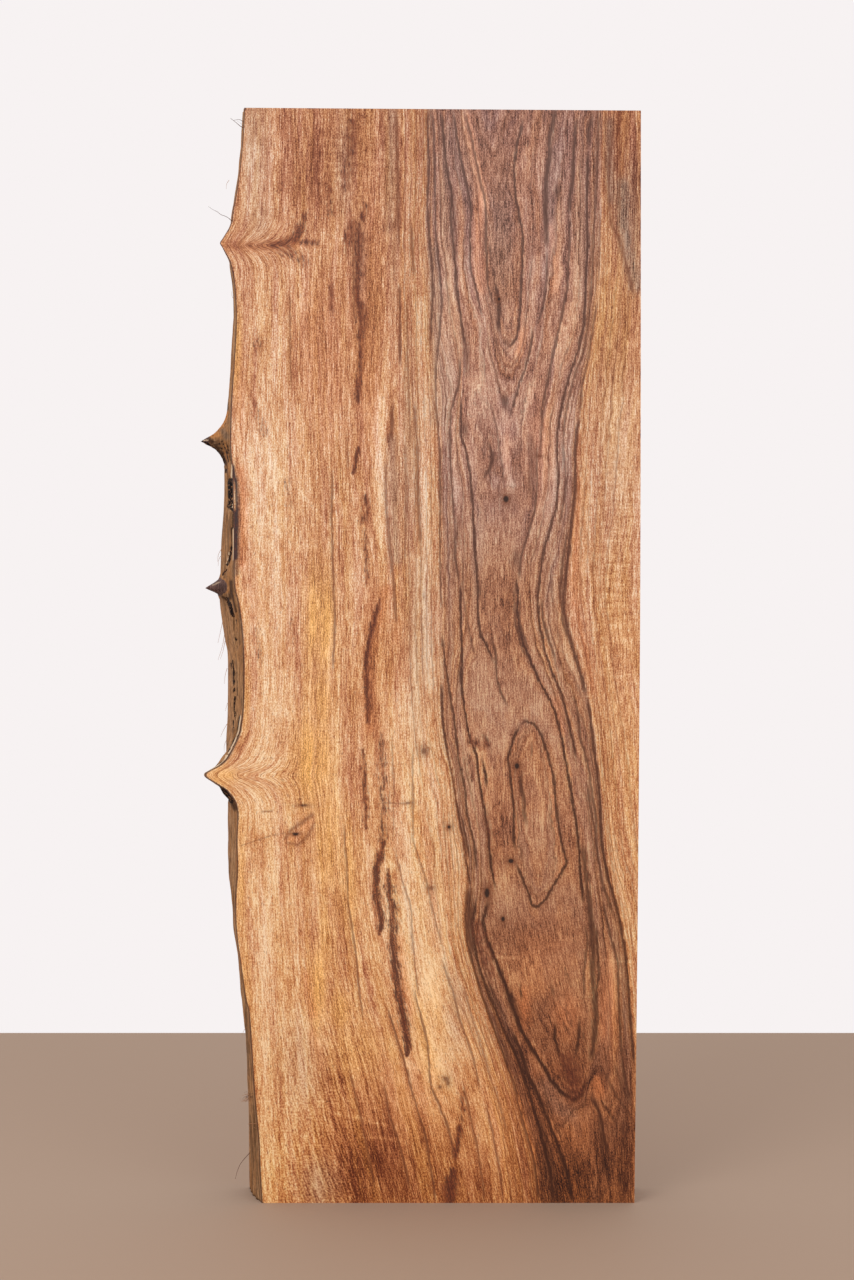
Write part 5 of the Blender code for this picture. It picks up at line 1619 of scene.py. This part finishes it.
def live_edge_wood():
    """Outer sapwood where the bark came away: silky, streaked along the grain, and darker than a cut face."""
    material, tree = new_material("walnut_live_edge")
    grain = add(tree, "Attribute", attribute_name="grain", out="Vector")
    masks = {key: add(tree, "Attribute", attribute_name=key, out="Fac") for key in (
        "black", "brown_and_shade", "ochre", "violet", "back_lobe", "splits_and_highlights", "weathered", "rim")}
    edged = "black", "violet", "rim", "splits_and_highlights"
    crisp = {key: add(tree, "MapRange", [masks[key], 0.25, 0.6]) for key in edged}
    # Streaks, clouds, fibres, lines and crumbs: each one's size across, through and up the board in mm
    waves = []
    for size, detail, roughness in (
        ((2.2, 2.2, 38), 4.0, 0.7), ((14, 14, 40), 3.0, 0.6), ((0.9, 0.9, 8), 2.0, 0.6),
        ((1.5, 1.5, 24), 2.0, 0.6), ((1.7, 1.7, 2.2), 3.0, 0.7),
    ):
        scaled = add(tree, "VectorMath", [grain, tuple(1 / length for length in size)], operation="MULTIPLY")
        feeds = {"Vector": scaled, "Scale": 1.0, "Detail": detail, "Roughness": roughness}
        waves.append(add(tree, "TexNoise", feeds))
    streaks, clouds, fibres, lines, crumbs = waves

    warm = add(tree, "MapRange", [clouds, 0.4, 0.65, 0.0, 0.6])
    lobe = add(tree, "Math", [masks["back_lobe"], 0.7], operation="MULTIPLY")
    broken = add(tree, "MapRange", [streaks, 0.35, 0.6, 0.55, 1.0])
    ochre = add(tree, "Math", [masks["ochre"], broken], operation="MULTIPLY", use_clamp=True)
    horn = add(tree, "ValToRGB", [fibres], stops=[(0.35, "#43302f"), (0.65, "#765c54")])
    thin_dark = add(tree, "MapRange", [lines, 0.53, 0.66, 0.0, 0.75])
    specks = add(tree, "MapRange", [fibres, 0.58, 0.68, 0.0, 0.6])
    thin_dark = add(tree, "Math", [thin_dark, specks], operation="MAXIMUM")
    not_smooth = add(tree, "Math", [1.0, crisp["violet"]], operation="SUBTRACT")
    thin_dark = add(tree, "Math", [thin_dark, not_smooth], operation="MULTIPLY")
    # Dark brown lines and marks, and painted shade under the two thorns
    brown_and_shade = add(tree, "Math", [thin_dark, masks["brown_and_shade"]], operation="MAXIMUM")
    colour = add(tree, "ValToRGB", [streaks], stops=[
        (0.28, "#5a3d2a"), (0.42, "#8a6543"), (0.53, "#ab815a"), (0.70, "#cda67c")])
    for amount, tint in ((warm, "#a06c3e"), (lobe, "#ab805a"), (ochre, "#c07f44"),
                         (masks["weathered"], "#7e6550"), (crisp["violet"], horn), (brown_and_shade, "#3e2819")):
        colour = add(tree, "Mix", {0: amount, 6: colour, 7: tint}, out=2, data_type="RGBA")
    fine = add(tree, "Math", [fibres, 1.5, -0.4], operation="MULTIPLY_ADD")
    fine = add(tree, "Math", [crumbs, 1.25, fine], operation="MULTIPLY_ADD")
    colour = add(tree, "VectorMath", {0: colour, "Scale": fine}, operation="SCALE")

    # Bark crust left in the pocket and the seam, pale splits by the cracks, and painted highlights on thorns
    crust = add(tree, "ValToRGB", [crumbs], stops=[
        (0.35, "#080404"), (0.54, "#170c0b"), (0.59, "#5c3b2a"), (0.66, "#b88a5e")])
    rim = add(tree, "Math", [crisp["rim"], 0.85], operation="MULTIPLY")
    pale = add(tree, "Math", [crisp["splits_and_highlights"], 0.9], operation="MULTIPLY")
    for amount, tint in ((rim, "#361f1a"), (crisp["black"], crust), (pale, "#dcc3a4")):
        colour = add(tree, "Mix", {0: amount, 6: colour, 7: tint}, out=2, data_type="RGBA")
    relief = add(tree, "Math", [crumbs, masks["black"], lines], operation="MULTIPLY_ADD")
    bump = add(tree, "Bump", {"Height": relief, "Strength": 0.6, "Distance": 0.0006})
    shader = add(tree, "BsdfPrincipled", {"Base Color": colour, "Roughness": 0.68, "Normal": bump,
                                          "Specular IOR Level": 0.1, "IOR": 1.5})
    add(tree, "OutputMaterial", {"Surface": shader})
    return material


def torn_fibre(name, colour):
    """Fibres torn loose when the bark was peeled off, dry and matt."""
    material, tree = new_material(name)
    shader = add(tree, "BsdfPrincipled", {"Base Color": colour, "Roughness": 0.7, "Specular IOR Level": 0.25})
    add(tree, "OutputMaterial", {"Surface": shader})
    return material


def thread(points, thickness, ends=0.35, sides=5):
    """A closed thin tube through POINTS, tapering to ENDS of its thickness, as vertices and faces."""
    points = np.asarray(points, float)
    along = np.concatenate([[0.0], np.cumsum(np.linalg.norm(np.diff(points, axis=0), axis=1))])
    stops = np.linspace(0, along[-1], max(4, int(along[-1] / 1.2)))
    path = np.column_stack([curve_through(list(zip(along, across)), stops) for across in points.T])
    runs = np.gradient(path, axis=0)
    runs /= np.linalg.norm(runs, axis=1)[:, None]
    first = np.cross(runs, (0.3, 1.0, 0.2))
    first /= np.linalg.norm(first, axis=1)[:, None]
    second = np.cross(runs, first)
    radius = thickness / 2 * (1 - (1 - ends) * stops / stops[-1])
    angles = math.tau * np.arange(sides) / sides
    rings = path[:, None] + radius[:, None, None] * (
        np.cos(angles)[None, :, None] * first[:, None] + np.sin(angles)[None, :, None] * second[:, None])
    faces = []
    for row in range(len(path) - 1):
        for side in range(sides):
            low, high = row * sides, (row + 1) * sides
            turn = (side + 1) % sides
            faces.append((low + side, low + turn, high + turn, high + side))
    last = (len(path) - 1) * sides
    faces.append(tuple(range(sides))[::-1])
    faces.append(tuple(range(last, last + sides)))
    return rings.reshape(-1, 3), faces


def loose_fibres(view):
    """Hairs, splinters and a tuft of torn fibres on the live edge, as one mesh."""
    points, faces, finishes = [], [], []

    def lay(line, thickness, finish, **settings):
        vertices, loops = thread(line, thickness, **settings)
        start = sum(len(some) for some in points)
        points.append(vertices)
        faces.extend([tuple(start + index for index in loop) for loop in loops])
        finishes.extend([finish] * len(loops))

    for thickness, finish, line in LOOSE_FIBRES:
        depth = view.depth_at(*line[0]) + 0.5
        places = [behind(column, row, depth) for column, row in line]
        lay([(x, depth - THICKNESS / 2, z) for x, z in places], thickness, finish)
    for thickness, line in SPLINTERS:
        ends = []
        for column, row in line:
            depth = view.depth_at(column, row)
            x, z = behind(column, row, depth)
            ends.append((x - 0.25, depth - THICKNESS / 2 - 0.25, z))
        middle = np.mean(ends, axis=0) + (-0.5, -0.5, 0.3)
        lay([ends[0], middle, ends[1]], thickness, PALE_FIBRE, ends=0.6)
    chance = np.random.default_rng(7)
    for _ in range(TUFT_FIBRES):
        column, row = chance.uniform(TUFT_LEFT + 5, TUFT_RIGHT), chance.uniform(TUFT_TOP + 3, TUFT_FOOT - 2)
        depth = view.depth_at(column, row) + 0.4
        x, z = behind(column, row, depth)
        reach, lift = chance.uniform(3.5, 8.5), chance.normal(0, 2.6)
        bend = chance.normal(0, 1.6)
        middle = -0.5 * reach, -0.35 * reach, 0.5 * lift + bend
        line = np.array([(0, 0, 0), middle, (-0.9 * reach, -0.5 * reach, lift)])
        line += x, depth - THICKNESS / 2, z
        lay(line, chance.uniform(0.22, 0.4), int(chance.uniform() > 0.6))
    mesh = bpy.data.meshes.new("loose_fibres")
    mesh.from_pydata(np.concatenate(points) * MM, [], faces)
    mesh.polygons.foreach_set("material_index", np.array(finishes, np.int32))
    for name, colour in (("dry_pale_fibre", "#b07c55"), ("dry_dark_fibre", "#5b3a2c")):
        mesh.materials.append(torn_fibre(name, colour))
    mesh.shade_smooth()
    fibres = bpy.data.objects.new("loose_fibres", mesh)
    bpy.context.scene.collection.objects.link(fibres)
    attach(fibres, "root")


def store(mesh, name, values):
    """Keeps VALUES, one for each vertex, as an attribute of MESH."""
    values = np.asarray(values, np.float32)
    kind, field = ("FLOAT", "value") if values.ndim == 1 else ("FLOAT_VECTOR", "vector")
    attribute = mesh.attributes.new(name, kind, "POINT")
    attribute.data.foreach_set(field, values.ravel())


def dressed_board():
    shell, plan = board_surface()
    points = np.array(shell.points)
    view = EdgeView()
    marks = edge_marks(plan, points[: len(plan)], view)
    inner = ease((plan[:, 1] - 0.6) / 2.0) * ease((THICKNESS - 0.6 - plan[:, 1]) / 2.0)
    points[: len(plan), 0] += CRACK_DEPTH * marks["black"] * inner
    triangles = np.concatenate(shell.triangles)
    mesh = bpy.data.meshes.new("walnut_board")
    mesh.from_pydata(points * MM, [], triangles.tolist())
    mesh.polygons.foreach_set("material_index", np.concatenate(shell.finishes).astype(np.int32))
    for name, values in wood_at(points, RingField()).items():
        store(mesh, name, values)
    for name, values in marks.items():
        whole = np.zeros(len(points))
        whole[: len(plan)] = values
        store(mesh, name, whole)
    for material in (planed_walnut("planed_walnut_face"),
                     planed_walnut("sawn_walnut_end", end_grain=True, roughness=0.7),
                     planed_walnut("sawn_walnut_edge", saw_marks=0.35, roughness=0.62),
                     live_edge_wood()):
        mesh.materials.append(material)
    mesh.shade_smooth()
    mesh.set_sharp_from_angle(angle=math.radians(45))
    board = bpy.data.objects.new("walnut_board", mesh)
    bpy.context.scene.collection.objects.link(board)
    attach(board, "root")
    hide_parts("board")
    loose_fibres(view)


def studio():
    """A plain pale floor that ends behind the board, soft light, and the camera."""
    scene = bpy.context.scene
    scene.view_settings.view_transform = "Standard"
    mesh = bpy.data.meshes.new("floor")
    sides = -FLOOR_HALF_WIDTH, FLOOR_HALF_WIDTH
    corners = [(x, FLOOR_FRONT, 0) for x in sides] + [(x, FLOOR_BACK, 0) for x in sides[::-1]]
    mesh.from_pydata(corners, [], [(0, 1, 2, 3)])
    floor = bpy.data.objects.new("floor", mesh)
    scene.collection.objects.link(floor)
    material, tree = new_material("pale_floor")
    matt = {"Base Color": "#a58e7b", "Roughness": 0.75, "Specular IOR Level": 0.2}
    shader = add(tree, "BsdfPrincipled", matt)
    add(tree, "OutputMaterial", {"Surface": shader})
    mesh.materials.append(material)

    world = bpy.data.worlds.new("studio")
    scene.world = world
    world.use_nodes = True
    backing = world.node_tree.nodes["Background"]
    backing.inputs["Color"].default_value = linear("#f7f2f2")
    backing.inputs["Strength"].default_value = 1.0

    for name, (place, aim, size, power) in LIGHTS.items():
        light = bpy.data.lights.new(name, "AREA")
        light.size = size
        light.energy = power
        lamp = bpy.data.objects.new(name, light)
        lamp.location = place
        lamp.rotation_euler = (Vector(aim) - Vector(place)).to_track_quat("-Z", "Y").to_euler()
        scene.collection.objects.link(lamp)

    lens = bpy.data.cameras.new("camera")
    lens.lens = LENS
    lens.sensor_fit = "VERTICAL"
    lens.sensor_height = FILM_HEIGHT
    camera = bpy.data.objects.new("camera", lens)
    camera.location = (CAMERA_X * MM, -(CAMERA_TO_FACE + THICKNESS / 2) * MM, CAMERA_Z * MM)
    camera.rotation_euler = (math.radians(90), 0, 0)
    scene.collection.objects.link(camera)
    scene.camera = camera


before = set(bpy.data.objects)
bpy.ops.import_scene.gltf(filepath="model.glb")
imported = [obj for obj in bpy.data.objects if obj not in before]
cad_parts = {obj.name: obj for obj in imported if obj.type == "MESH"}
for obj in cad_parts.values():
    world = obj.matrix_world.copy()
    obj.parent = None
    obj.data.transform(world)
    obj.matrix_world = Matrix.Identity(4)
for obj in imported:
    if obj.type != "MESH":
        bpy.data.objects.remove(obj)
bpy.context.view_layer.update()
dressed_board()
studio()
